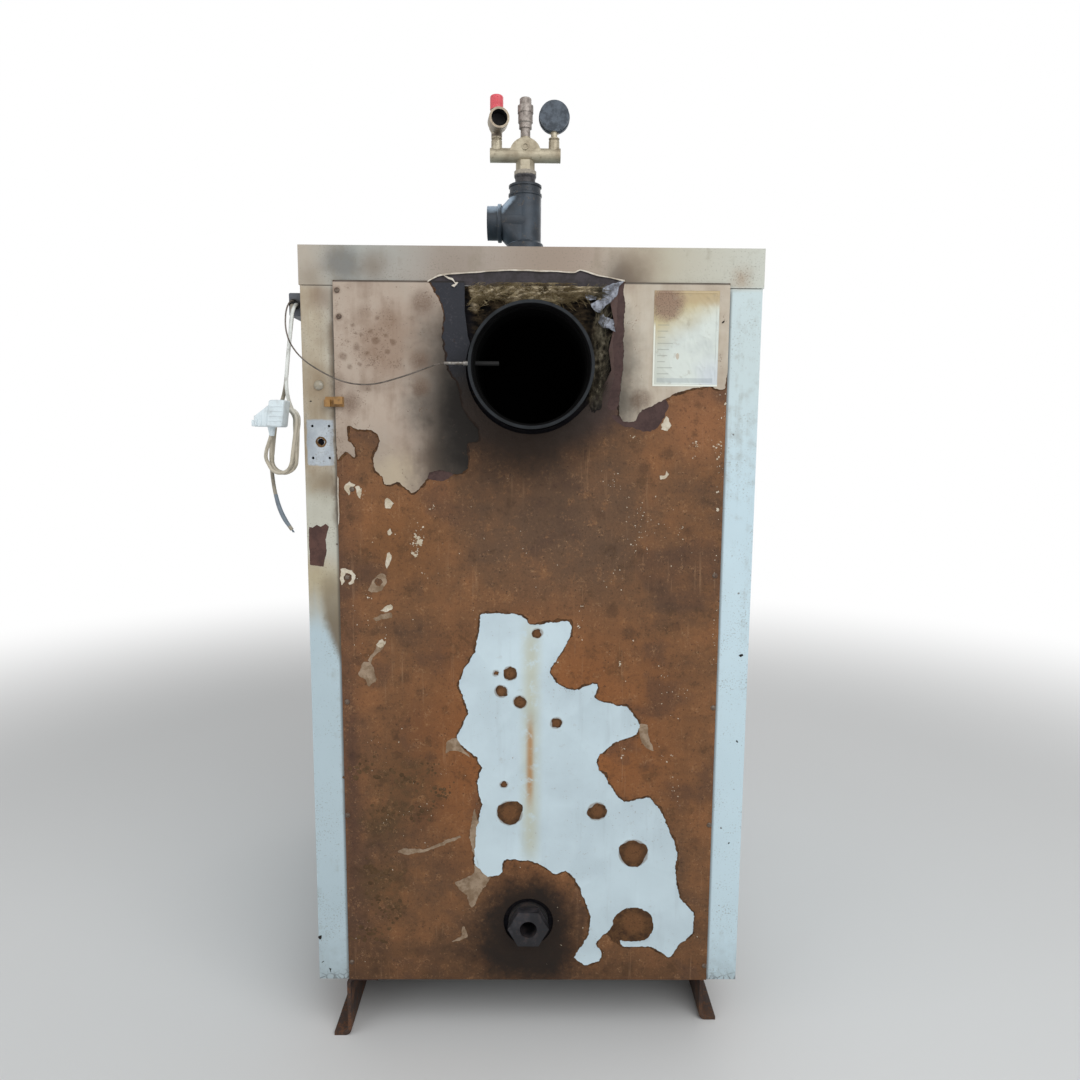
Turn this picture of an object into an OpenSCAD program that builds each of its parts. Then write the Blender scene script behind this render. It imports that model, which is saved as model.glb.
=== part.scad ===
// Wood gasification boiler: steel vessel in an insulated sheet casing on two foot rails.
// Rear faces -Y, doors face +Y, floor is Z = 0, millimetres.

/* [Casing] */
// Width over the side panels
body_w = 600; // [540:5:760]
// Depth from the rear panel's face to the front panel's face
body_d = 820; // [760:5:1000]
// Height of the casing above the foot rails
casing_h = 1020; // [1000:5:1200]
// Thickness of the casing sheets
sheet = 1.5; // [1:0.1:2.5]
// Drop of the top cover's skirt
skirt_h = 50; // [30:1:70]
// Play between the top cover and what it fits over
cover_fit = 0.3; // [0.2:0.1:0.6]
// Width of the side panels' folded returns
return_w = 55; // [48:1:70]
// Strip of the side panels' returns that shows beside the rear and front panels
panel_inset = 42.5; // [41:0.5:45]
// Overlap of the rear and front panels on the cover's skirt
panel_overlap = 6; // [3:1:15]
// Clip across the rear panel's top corners
panel_clip = 10; // [4:1:20]
// Thickness of the mineral wool round the vessel
wool = 35; // [25:1:45]
// Play between the wool and the sheets
wool_fit = 0.2; // [0.1:0.1:0.4]

/* [Foot rails] */
// Height of the rails from floor to vessel
foot_h = 92; // [70:1:130]
// Distance of each rail's web inside the side panel's face
rail_inset = 38; // [25:1:50]
// Thickness of the rails' plate
rail_t = 5; // [4:0.5:8]
// Width of the flange on the floor, outside the web
rail_foot = 20; // [14:1:30]
// Width of the flange under the vessel, inside the web
rail_top = 40; // [30:1:60]
// Inside radius of the rails' bends
rail_bend = 5; // [3:0.5:8]
// Length of the rails
rail_len = 760; // [640:5:780]
// Set-back of the left rail's end behind the rear panel
left_rail_set = 5; // [3:1:40]
// Set-back of the right rail's end behind the rear panel
right_rail_set = 38; // [20:1:55]

/* [Flue] */
// Outer diameter of the flue spigot
flue_od = 159; // [130:1:165]
// Wall of the flue spigot at its mouth
flue_wall = 4; // [3:0.5:5]
// Wall of the flue spigot behind its inner shoulder
flue_throat = 7; // [6:0.5:10]
// Depth of the spigot's mouth to the shoulder
flue_mouth = 30; // [24:1:34]
// Reach of the spigot behind the rear panel
flue_reach = 50; // [46:1:70]
// Height of the flue's axis
flue_z = 958; // [940:1:964]
// Gap between spigot and the hole in the rear panel
flue_gap = 6.5; // [4:0.5:8]
// Gap between spigot and wool
wool_gap = 1; // [0.5:0.5:3]
// Depth of the smoke passage inside the vessel
smoke_depth = 130; // [60:5:200]

/* [Flue probe] */
// Radius of the probe in the flue
probe_r = 3; // [2:0.5:4]
// Length of the probe outside and inside the spigot
probe_len = 46; // [42:1:60]
// Radius of the probe's ferrule
ferrule_r = 2; // [1.5:0.1:2]
// Length of the probe's ferrule
ferrule_len = 25; // [15:1:28]
// Tip of the probe, left of the flue's axis
probe_tip = 42; // [35:1:44]
// Distance of the probe behind the rear panel's face
probe_set = 12; // [8:0.5:14]
// Height of the probe above the flue's axis
probe_rise = 4.5; // [0:0.5:8]
// Play of the probe in its hole
probe_fit = 0.2; // [0.1:0.1:0.4]

/* [Return connection] */
// Height of the return's axis
return_z = 181; // [165:1:240]
// Outer diameter of the return socket
socket_od = 57; // [54:1:66]
// Reach of the socket behind the rear panel
socket_reach = 3.5; // [2:0.5:40]
// Radius of the socket's bore
socket_bore = 23; // [21:0.5:25]
// Gap between socket and the hole in the rear panel
socket_gap = 7; // [3:0.5:10]
// Width of the bush's hexagon across flats
bush_af = 50; // [48:1:58]
// Length of the bush's hexagon
bush_hex = 14; // [10:1:24]
// Thread showing between socket and hexagon
bush_show = 1.5; // [1:0.5:6]
// Length of the bush inside the socket
bush_shank = 28; // [20:1:40]
// Radius of the bush's threaded hole
bush_hole = 12.06; // [10:0.01:13]
// Play of screwed pieces in their sockets
screw_fit = 0.3; // [0.2:0.1:0.5]

/* [Flow tee] */
// Distance of the flow from the rear panel's face
flow_set = 228; // [190:1:280]
// Sideways place of the flow
flow_x = -12; // [-40:1:40]
// Height of the tee's branch above the top cover
tee_rise = 85; // [78:1:120]
// Reach of the tee's ends from its centre, up and down
tee_run = 56.5; // [52:0.5:66]
// Reach of the tee's branch from its centre
tee_branch = 58; // [52:1:70]
// Radius of the tee's body
tee_r = 24.8; // [24.5:0.1:26]
// Radius of the branch
branch_r = 25.2; // [24.5:0.1:26]
// Radius of the bead on the branch
branch_bead = 28.4; // [27.5:0.1:32]
// Width of the bead on the branch
bead_w = 6; // [4:0.5:8]
// Distance of that bead from the branch's end
bead_set = 16; // [12:1:18]
// Height of the tee's upper collar
collar_h = 18; // [14:0.5:20]
// Size of the swept corner between body and branch
tee_sweep = 12; // [6:0.5:14]
// Radius of the branch's threaded hole
branch_hole = 22.42; // [20:0.01:23]
// Length of the branch's thread
branch_thread = 22; // [16:1:26]
// Radius of the tee's water way
tee_bore = 19; // [16:0.5:19.5]
// Outer radius of the flow pipe
flow_r = 23.4; // [22:0.1:24]
// Wall of the flow pipe
flow_wall = 4.2; // [3.5:0.1:5]
// Depth of screwed pieces in the tee's ends
tee_seat = 20; // [14:1:24]
// Gap between flow pipe and the hole in the top cover
flow_gap = 5; // [2:0.5:10]

/* [Safety group] */
// Height of the reducing bush's neck above the tee
neck_h = 9; // [6:0.5:14]
// Radius of the reducing bush's neck
neck_r = 15.5; // [13:0.5:16]
// Height of the reducing bush's collar
neck_collar_h = 11; // [8:0.5:14]
// Radius of the reducing bush's collar
neck_collar_r = 17; // [16.5:0.5:19]
// Height of the manifold's hexagon
union_h = 15; // [12:1:26]
// Width of the manifold's hexagon across flats
union_af = 25; // [24:1:30]
// Radius of the manifold's bar
bar_r = 10.5; // [10:0.5:13]
// Half length of the manifold's bar
bar_half = 54; // [54:1:64]
// Sideways place of the side ports
port_x = 44; // [43:0.5:48]
// Height of the side ports above the bar's axis
port_h = 25; // [22:1:30]
// Radius of the side ports
port_r = 8.3; // [7.5:0.1:10]
// Radius of the manifold's web
web_r = 24; // [22:0.5:30]
// Thickness of the manifold's web
web_t = 19; // [14:1:20]
// Radius of the boss ring on the web
boss_r = 5; // [4:0.5:7]

/* [Safety valve] */
// Height of the valve's outlet above its port
outlet_rise = 19; // [17:0.5:30]
// Turn of the valve's outlet from straight back
valve_turn = 10; // [-20:1:20]
// Reach of the outlet from the valve's axis
outlet_reach = 32; // [28:1:40]
// Outer radius of the outlet
outlet_r = 15.2; // [14:0.1:16]
// Radius of the outlet's threaded hole
outlet_hole = 12.06; // [10:0.01:12.5]
// Depth of the outlet's hole
outlet_depth = 18; // [12:1:20]
// Radius of the valve's body
valve_r = 11.5; // [11:0.5:13]
// Height of the valve's shoulder above the outlet's axis
shoulder_h = 17; // [16:0.5:24]
// Height of the valve's bonnet
bonnet_h = 4.5; // [3:0.5:10]
// Radius of the valve's spindle
spindle_r = 3.9; // [3:0.1:4.5]
// Radius of the test cap
cap_r = 10.1; // [9:0.1:12]
// Height of the test cap
cap_h = 20.5; // [18:0.5:26]
// Depth of the spindle's hole in the test cap
cap_bore_h = 13; // [10:0.5:14]
// Running play under and inside the test cap
cap_fit = 0.3; // [0.2:0.1:0.5]
// Number of grip grooves round the test cap
cap_grips = 8; // [6:1:12]

/* [Air vent] */
// Radius of the vent's nipple
vent_nipple_r = 7.5; // [7:0.5:8]
// Height of the vent's nipple above its boss
vent_nipple_h = 13; // [10:1:20]
// Radius of the vent's body
vent_r = 11.2; // [10.5:0.1:11.5]
// Height of the vent's body
vent_h = 16.5; // [14:0.5:30]
// Radius of the vent's clamping ring
vent_ring_r = 12; // [12:0.5:16]
// Height of the vent's clamping ring
vent_ring_h = 12; // [6:1:14]
// Radius of the vent's head
vent_head_r = 9; // [8:0.1:10]
// Height of the vent's head
vent_head_h = 10; // [8:1:18]

/* [Pressure gauge] */
// Radius of the gauge's case
gauge_r = 22.5; // [20:0.5:28]
// Depth of the gauge's case
gauge_d = 14; // [12:1:28]
// Radius of the gauge's bezel
bezel_r = 23.7; // [23:0.1:30]
// Width of the gauge's bezel
bezel_w = 6; // [5:1:10]
// Depth of the recess in front of the dial
dial_recess = 6; // [5.5:0.5:8]
// Thickness of the gauge's glass
glass_t = 2; // [1.5:0.5:3]
// Radius of the gauge's stem
stem_r = 4.8; // [4:0.1:7]
// Height of the gauge's centre above its port
gauge_rise = 31.5; // [30:0.5:45]

/* [Cable outlet] */
// Width of the cable outlet box, out of the side panel
outlet_box_w = 20; // [16:1:30]
// Height of the cable outlet box
outlet_box_h = 30; // [24:1:40]
// Drop of the cable outlet box's bottom below the casing's top
outlet_box_drop = 87.5; // [84:0.5:160]
// Length of the cable outlet box
outlet_box_d = 90; // [40:5:200]
// Radius of the cable bushing
bushing_r = 6.7; // [6.4:0.1:8]
// Radius of the bushing's mouth
bushing_mouth = 5.7; // [5.6:0.1:6]

/* [Rear fittings] */
// Sideways spacing of the four small holes in the left return
plate_hole_x = 22; // [16:1:26]
// Height spacing of the four small holes in the left return
plate_hole_z = 42; // [30:1:50]
// Radius of the four small holes
plate_hole_r = 1.75; // [1.5:0.05:2.5]
// Radius of the cable hole between them
plate_cable_r = 4.5; // [3:0.5:6]
// Height of these holes' middle
plate_z = 860; // [800:1:890]
// Width of the cable clip
clip_w = 24; // [18:1:30]
// Height of the cable clip
clip_h = 13; // [8:1:16]
// Reach of the cable clip's posts
clip_reach = 10; // [6:1:14]

/* [Doors] */
// Distance of the doors' edges inside the side panels' faces
door_inset = 90; // [80:5:110]
// Height of the loading door
loading_h = 310; // [260:5:330]
// Height of the lower door
lower_h = 280; // [240:5:300]
// Bottom of the lower door above the casing's bottom
lower_z = 60; // [40:5:80]
// Gaps between lower door, air box and loading door
door_gap = 35; // [20:1:45]
// Thickness of the doors' back plate
door_plate = 12; // [8:1:16]
// Depth of the doors' raised cover
door_cover = 22; // [14:1:30]
// Corner radius of the doors
door_round = 14; // [8:1:24]
// Border between the doors' back plate and raised cover
door_border = 16; // [10:1:26]
// Stand of the door frames in front of the front panel
frame_stand = 8; // [5:1:14]
// Width of the door frames' rim
frame_rim = 24; // [16:1:40]
// Radius of the hinge pins
hinge_r = 6; // [5:0.5:8]
// Length of each hinge
hinge_len = 60; // [40:1:80]
// Play of the hinge pins in the doors' lugs
hinge_fit = 0.3; // [0.2:0.1:0.5]
// Reach of the door handles in front of the doors
handle_reach = 53; // [50:1:90]
// Drop of the door handles' levers
lever_len = 120; // [90:5:150]
// Radius of the levers
lever_r = 7; // [6:0.5:9]
// Radius of the levers' grips
grip_r = 13; // [10:0.5:16]

/* [Controls] */
// Distance of the control fascia's ends inside the side panels' faces
fascia_inset = 80; // [65:5:100]
// Height of the control fascia
fascia_h = 92; // [84:1:96]
// Depth of the control fascia
fascia_d = 30; // [20:1:40]
// Gap between the loading door and the control fascia
fascia_gap = 30; // [20:1:40]
// Radius of the thermometer
thermo_r = 29; // [24:1:34]
// Radius of the thermostat knob
knob_r = 18; // [14:1:24]
// Width of the air box
air_w = 300; // [240:5:360]
// Height of the air box
air_h = 100; // [80:1:110]
// Depth of the air box
air_d = 38; // [26:1:40]
// Number of louvre slots in the air box
air_slots = 6; // [4:1:7]

/* [Hidden] */
$fn = 64;
cut = 1;
half_w = body_w / 2;
casing_top = foot_h + casing_h;
skirt_z = casing_top - skirt_h;
seam = 1;

// Reaches that set the origin at the middle of the footprint
bush_reach = socket_reach + bush_show + bush_hex;
door_front = frame_stand + door_plate + door_cover;
rear_reach = max(bush_reach, flue_reach);
front_reach = door_front + handle_reach;
rear_y = (rear_reach - body_d - front_reach) / 2;
front_y = rear_y + body_d;
rear_fold_y = rear_y + sheet;
front_fold_y = front_y - sheet;

// Vessel inside its wool
vessel_half = half_w - sheet - wool_fit - wool;
vessel_rear = rear_fold_y + sheet + wool_fit + wool;
vessel_front = front_fold_y - sheet - wool_fit - wool;
vessel_top = casing_top - sheet - wool_fit - wool;
flue_r = flue_od / 2;
panel_w = body_w - 2 * panel_inset;
panel_top = skirt_z + panel_overlap;
rail_x = half_w - rail_inset;

// Front, from the lower door upwards
door_w = body_w - 2 * door_inset;
fascia_w = body_w - 2 * fascia_inset;
air_z = lower_z + lower_h + door_gap;
loading_z = air_z + air_h + door_gap;
fascia_z = loading_z + loading_h + fascia_gap;

// Flow and safety group, from the tee upwards
flow_y = rear_y + flow_set;
tee_z = casing_top + tee_rise;
tee_top = tee_z + tee_run;
bar_z = tee_top + neck_h + neck_collar_h + union_h + bar_r * cos(30);
port_z = bar_z + port_h;
outlet_z = port_z + outlet_rise;
bonnet_z = outlet_z + shoulder_h;
cap_z = bonnet_z + bonnet_h + cap_fit;
vent_boss_h = 2;
vent_boss_rim = 0.5;
vent_z = bar_z + web_r + vent_boss_h;
gauge_z = port_z + gauge_rise;

// Cable outlet
outlet_box_set = 20;
outlet_box_y = rear_y + outlet_box_set;
outlet_box_z = casing_top - outlet_box_drop;
bushing_out = 12.2;
bushing_x = -half_w - bushing_out;
bushing_z = outlet_box_z + outlet_box_h / 2;
bushing_stand = 6;
bushing_recess = 3;
bushing_y = outlet_box_y - bushing_stand;

// Return strip fittings
plate_in = 22;
plate_x = plate_in - half_w;
clip_in = 30;
clip_rise = 46;
clip_x = clip_in - half_w;
clip_z = plate_z + clip_rise;

// Torn top of the flue hole: offsets from the flue's axis, clockwise from the top left
tear = [[-87, 120], [-87, 72], [-83, 40], [-70, 0], [60, -62], [81, -40], [96, -19], [105, -2],
        [101, 24], [108, 57], [101, 88], [110, 120]];

// Free cords, hand laid: offsets from the bushing's axis in the rear panel's plane
cord_hang = [bushing_x, rear_y, bushing_z];
mains_r = 2.75;
mains_drop = [[2.8, 17, -0.5], [2.8, 11.5, -2], [2.7, 5, -6], [2.4, -0.5, -12], [1.9, -4.3, -20],
              [1.2, -6.1, -29.5], [-0.1, -7, -43.5], [-2, -7.5, -59.5], [-4.4, -8, -77.5],
              [-7.2, -8.5, -95.5], [-9.8, -8.9, -112.5], [-10.8, -9, -126.3]];
plug_strand = [[-14.8, -22.1, -203.5], [-14.8, -25.9, -200.5], [-14.8, -30.5, -194.5],
               [-14.8, -34.5, -185.5], [-14.8, -36.5, -174.5], [-14.8, -36.5, -163.5]];
cut_r = 2.5;
cut_drop = [[-2.7, 17, -0.5], [-2.7, 12.5, -2], [-2.7, 8, -6.5], [-2.8, 4.5, -13],
            [-3, 2.5, -20.5], [-3.4, 1.9, -30.5], [-4.4, 2.5, -45.5], [-6.2, 3.9, -63.5],
            [-9.2, 5.5, -82.5], [-13.2, 6.7, -101.5], [-17.8, 7.3, -121.5], [-21.8, 7.5, -141.5],
            [-24.6, 7.5, -161.5], [-25.8, 7.5, -181.5], [-26, 7.5, -201.5], [-25.2, 7.5, -219.5],
            [-23.8, 7.5, -236.5], [-18.8, 7.9, -256.5], [-12.8, 8.5, -273.5], [-3.8, 9, -293.5]];

// Capillary to the flue probe: share of the straight way, then offsets in Y and Z
capillary_r = 1;
capillary_from = cord_hang + [0, 17, 3.5];
capillary_to = [-probe_tip - probe_len - ferrule_len, rear_y - probe_set, flue_z + probe_rise];
capillary_run = [[0, 0, 0], [-0.002, -5.6, -0.2], [-0.007, -12.7, -2.6], [-0.013, -19.4, -8.1],
                 [-0.018, -25, -16.5], [-0.019, -29.1, -26.5], [-0.016, -31.4, -37.3],
                 [-0.007, -32.1, -46.6], [0.009, -31.6, -54.8], [0.034, -30.1, -61.8],
                 [0.068, -27.9, -67.5], [0.111, -25.3, -71.8], [0.162, -22.6, -74.5],
                 [0.222, -20.1, -76.5], [0.282, -17.9, -77.5], [0.342, -16, -77],
                 [0.408, -13.9, -74.6], [0.478, -11.8, -69.7], [0.548, -10, -63.1],
                 [0.618, -8.4, -54.4], [0.689, -6.9, -44.8], [0.759, -5.5, -34.7],
                 [0.824, -4.2, -24.8], [0.885, -2.9, -15.6], [0.940, -1.6, -7.3], [1, 0, 0]];
hank_middle = cord_hang + [-10.3, -9, -174.9];
hank_w = 42;
hank_h = 97;
hank_t = 26;
plug_middle = cord_hang + [-14.8, -37.5, -144.5];

function unit(v) = v / norm(v);
function hung(p) = [for (q = p) cord_hang + q];
function slung(p, from, to) = [for (q = p) from + q[0] * (to - from) + [0, q[1], q[2]]];
function carried(n, t) = unit(n - (n * t) * t);
function tangents(p, first, last) =
    [for (i = [0 : len(p) - 1])
        i == 0 ? first : i == len(p) - 1 ? last : unit(p[i + 1] - p[i - 1])];
function normals(t, start) =
    [for (i = 0, n = carried(start, t[0]); i < len(t);
          i = i + 1, n = i < len(t) ? carried(n, t[i]) : n) n];

// Round cord swept along its route, with square-cut ends
module cord(p, r, first, last, side, sides = 8) {
    t = tangents(p, first, last);
    n = normals(t, side);
    rings = [for (i = [0 : len(p) - 1], k = [0 : sides - 1])
        p[i] + r * (cos(360 * k / sides) * n[i] + sin(360 * k / sides) * cross(t[i], n[i]))];
    skin = [for (i = [0 : len(p) - 2], k = [0 : sides - 1])
        let (a = i * sides + k, b = i * sides + (k + 1) % sides) [a, a + sides, b + sides, b]];
    head = [for (k = [0 : sides - 1]) k];
    tail = [for (k = [sides - 1 : -1 : 0]) (len(p) - 1) * sides + k];
    polyhedron(points = rings, faces = concat(skin, [head], [tail]), convexity = 6);
}

// Cylinder along +Y from a point
module along_y(p, r, l) {
    translate(p) rotate([-90, 0, 0]) cylinder(r = r, h = l);
}

// Cylinder along +X from a point
module along_x(p, r, l) {
    translate(p) rotate([0, 90, 0]) cylinder(r = r, h = l);
}

// Outline in X and Z, pulled along +Y from y
module pulled(y, l) {
    translate([0, y + l, 0]) rotate([90, 0, 0]) linear_extrude(l) children();
}

// Rectangle with round corners, centred
module round_rect(w, h, r) {
    for (sx = [-1, 1], sz = [-1, 1]) translate([sx * (w / 2 - r), sz * (h / 2 - r)]) circle(r);
    square([w, h - 2 * r], center = true);
    square([w - 2 * r, h], center = true);
}

// Quarter of a ring, in the first quadrant
module bend(r_in, t) {
    intersection() {
        difference() {
            circle(r_in + t);
            circle(r_in);
        }
        square(r_in + t);
    }
}

// Section of a foot rail: flange under the vessel, web, flange on the floor
module rail_section() {
    bent = rail_t + rail_bend;
    translate([rail_x - rail_t, bent]) square([rail_t, foot_h - 2 * bent]);
    translate([rail_x + rail_bend, bent]) rotate(180) bend(rail_bend, rail_t);
    translate([rail_x + rail_bend, 0]) square([rail_foot - rail_bend, rail_t]);
    translate([rail_x - bent, foot_h - bent]) bend(rail_bend, rail_t);
    translate([rail_x - rail_t - rail_top, foot_h - rail_t]) square([rail_top - rail_bend, rail_t]);
}

module left_foot_rail() {
    color("#3a2b25") pulled(rear_y + left_rail_set, rail_len) mirror([1, 0]) rail_section();
}

module right_foot_rail() {
    color("#3a2b25") pulled(rear_y + right_rail_set, rail_len) rail_section();
}

// Outline of a door opening's frame, in X and Z
module frame_outline(z, h, w) {
    translate([0, foot_h + z + h / 2]) square([w, h - door_w + w], center = true);
}

// Frame round a door opening, from the vessel to the door
module door_frame(z, h) {
    pulled(vessel_front, front_y + frame_stand - vessel_front)
        frame_outline(z, h, door_w - 2 * frame_rim);
}

module boiler_vessel() {
    color("#2b2624") {
        difference() {
            translate([-vessel_half, vessel_rear, foot_h])
                cube([2 * vessel_half, vessel_front - vessel_rear, vessel_top - foot_h]);
            along_y([0, vessel_rear - cut, flue_z], flue_r - flue_throat, smoke_depth + cut);
        }
        door_frame(loading_z, loading_h);
        door_frame(lower_z, lower_h);
    }
}

module mineral_wool() {
    outer = half_w - sheet - wool_fit;
    outer_rear = rear_fold_y + sheet + wool_fit;
    outer_front = front_fold_y - sheet - wool_fit;
    color("#8a744d") difference() {
        translate([-outer, outer_rear, foot_h])
            cube([2 * outer, outer_front - outer_rear, casing_top - sheet - wool_fit - foot_h]);
        translate([-vessel_half, vessel_rear, foot_h - cut])
            cube([2 * vessel_half, vessel_front - vessel_rear, vessel_top - foot_h + cut]);
        along_y([0, outer_rear - cut, flue_z], flue_r + wool_gap, wool + 2 * cut);
        along_y([0, outer_rear - cut, return_z], socket_od / 2 + wool_gap, wool + 2 * cut);
        translate([flow_x, flow_y, vessel_top - cut]) cylinder(r = flow_r + wool_gap, h = wool + 2 * cut);
        pulled(vessel_front - cut, wool + 2 * cut) {
            frame_outline(loading_z, loading_h, door_w - 2 * frame_rim + 2 * wool_gap);
            frame_outline(lower_z, lower_h, door_w - 2 * frame_rim + 2 * wool_gap);
        }
    }
}

// Outline of a panel between floor line and cover, in X and Z
module panel_outline(clip) {
    polygon([[-panel_w / 2, foot_h], [panel_w / 2, foot_h], [panel_w / 2, panel_top - clip],
             [panel_w / 2 - clip, panel_top], [clip - panel_w / 2, panel_top],
             [-panel_w / 2, panel_top - clip]]);
}

module rear_panel() {
    color("#7a4526") pulled(rear_y, sheet) difference() {
        panel_outline(panel_clip);
        translate([0, flue_z]) circle(flue_r + flue_gap);
        translate([0, flue_z]) polygon(tear);
        translate([0, return_z]) circle(socket_od / 2 + socket_gap);
    }
}

module front_panel() {
    color("#c6ced6") pulled(front_y - sheet, sheet) difference() {
        panel_outline(panel_clip);
        frame_outline(loading_z, loading_h, door_w - 2 * frame_rim + 2 * wool_gap);
        frame_outline(lower_z, lower_h, door_w - 2 * frame_rim + 2 * wool_gap);
    }
}

// Right side panel: flat sheet with a return at the rear and one at the front
module side_panel() {
    depth = front_fold_y - rear_fold_y;
    low = skirt_z - seam - foot_h;
    inner = sheet + cover_fit;
    translate([half_w - sheet, rear_fold_y, foot_h]) cube([sheet, depth, low]);
    translate([half_w - sheet, rear_fold_y + inner, foot_h])
        cube([sheet, depth - 2 * inner, casing_h - sheet - cover_fit]);
    translate([half_w - return_w, rear_fold_y, foot_h]) cube([return_w, sheet, low]);
    translate([half_w - return_w, front_fold_y - sheet, foot_h]) cube([return_w, sheet, low]);
}

module left_side_panel() {
    color("#c2ccd4") difference() {
        mirror([1, 0, 0]) side_panel();
        for (sx = [-1, 1], sz = [-1, 1])
            along_y([plate_x + sx * plate_hole_x / 2, rear_fold_y - cut, plate_z + sz * plate_hole_z / 2],
                    plate_hole_r, sheet + 2 * cut);
        along_y([plate_x, rear_fold_y - cut, plate_z], plate_cable_r, sheet + 2 * cut);
    }
}

module right_side_panel() {
    color("#c2ccd4") side_panel();
}

module top_cover() {
    over = half_w + cover_fit + sheet;
    depth = front_fold_y - rear_fold_y;
    color("#b4aa9c") difference() {
        translate([-over, rear_fold_y, skirt_z]) cube([2 * over, depth, skirt_h]);
        translate([-over + sheet, rear_fold_y + sheet, skirt_z - cut])
            cube([2 * over - 2 * sheet, depth - 2 * sheet, skirt_h - sheet + cut]);
        translate([flow_x, flow_y, casing_top - sheet - cut]) cylinder(r = flow_r + flow_gap, h = sheet + 2 * cut);
    }
}

module flue_spigot() {
    mouth_y = rear_y - flue_reach;
    color("#1c1a19") difference() {
        along_y([0, mouth_y, flue_z], flue_r, vessel_rear - mouth_y);
        along_y([0, mouth_y - cut, flue_z], flue_r - flue_wall, flue_mouth + cut);
        along_y([0, mouth_y, flue_z], flue_r - flue_throat, vessel_rear - mouth_y + cut);
        along_x([-flue_r - cut, rear_y - probe_set, flue_z + probe_rise],
                probe_r + probe_fit, flue_throat + flue_wall + 2 * cut);
    }
}

module flue_probe() {
    p = [-probe_tip - probe_len, rear_y - probe_set, flue_z + probe_rise];
    color("#9a958c") {
        along_x(p, probe_r, probe_len);
        along_x(p - [ferrule_len, 0, 0], ferrule_r, ferrule_len);
    }
}

module return_socket() {
    end_y = rear_y - socket_reach;
    color("#2a2624") difference() {
        along_y([0, end_y, return_z], socket_od / 2, vessel_rear - end_y);
        along_y([0, end_y - cut, return_z], socket_bore, vessel_rear - end_y + 2 * cut);
    }
}

module return_bush() {
    hex_y = rear_y - bush_reach;
    color("#34302e") difference() {
        union() {
            translate([0, hex_y, return_z]) rotate([-90, 0, 0])
                cylinder(r = bush_af / 2 / cos(30), h = bush_hex, $fn = 6);
            along_y([0, hex_y + bush_hex, return_z], socket_bore - screw_fit, bush_show + bush_shank);
        }
        along_y([0, hex_y - cut, return_z], bush_hole, bush_hex + bush_show + bush_shank + 2 * cut);
    }
}

module flow_pipe() {
    color("#33343a") translate([flow_x, flow_y, vessel_top]) difference() {
        cylinder(r = flow_r, h = tee_z - tee_run + tee_seat - vessel_top);
        translate([0, 0, -cut]) cylinder(r = flow_r - flow_wall, h = tee_z - vessel_top);
    }
}

module flow_tee() {
    rim = 1;
    ring = 4;
    under = 0.6;
    foot = tee_seat + ring;
    neck_z = tee_run - collar_h;
    bead_x = tee_branch - bead_set - bead_w;
    color("#3c4048") translate([flow_x, flow_y, tee_z]) difference() {
        union() {
            rotate_extrude() polygon([[0, -tee_run], [branch_bead, -tee_run], [branch_bead, foot - tee_run],
                [tee_r, foot - tee_run + ring], [tee_r, neck_z], [tee_r + rim, neck_z + rim],
                [tee_r + rim, neck_z + ring], [tee_r - rim, neck_z + ring + rim], [tee_r - rim, tee_run - ring],
                [tee_r + rim / 2, tee_run - ring], [tee_r + rim / 2, tee_run - rim], [tee_r - rim, tee_run],
                [0, tee_run]]);
            rotate([0, -90, 0]) rotate_extrude() polygon([[0, 0], [branch_r, 0], [branch_r, bead_x],
                [branch_bead - rim, bead_x], [branch_bead, bead_x + rim], [branch_bead, bead_x + bead_w - rim],
                [branch_bead - rim, bead_x + bead_w], [branch_r, bead_x + bead_w], [branch_r, tee_branch],
                [0, tee_branch]]);
            hull() {
                translate([0, 0, -branch_r - tee_sweep])
                    cylinder(r = tee_r - under, h = 2 * (branch_r + tee_sweep));
                rotate([0, -90, 0]) translate([0, 0, tee_r + tee_sweep - 2 * under])
                    cylinder(r = branch_r - under, h = under);
            }
        }
        translate([0, 0, -tee_run - cut]) cylinder(r = tee_bore, h = 2 * tee_run + 2 * cut);
        translate([0, 0, -tee_run - cut]) cylinder(r = flow_r + screw_fit, h = tee_seat + cut + screw_fit);
        rotate([0, -90, 0]) cylinder(r = tee_bore, h = tee_branch + cut);
        rotate([0, -90, 0]) translate([0, 0, tee_branch - branch_thread])
            cylinder(r = branch_hole, h = branch_thread + cut);
    }
}

module reducing_bush() {
    rim = 3;
    color("#2e2a27") translate([flow_x, flow_y, tee_top]) rotate_extrude()
        polygon([[0, -tee_seat], [tee_bore - screw_fit, -tee_seat], [tee_bore - screw_fit, 0], [neck_r, 0],
                 [neck_r, neck_h], [neck_collar_r, neck_h + rim], [neck_collar_r, neck_h + neck_collar_h],
                 [0, neck_h + neck_collar_h]]);
}

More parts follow.
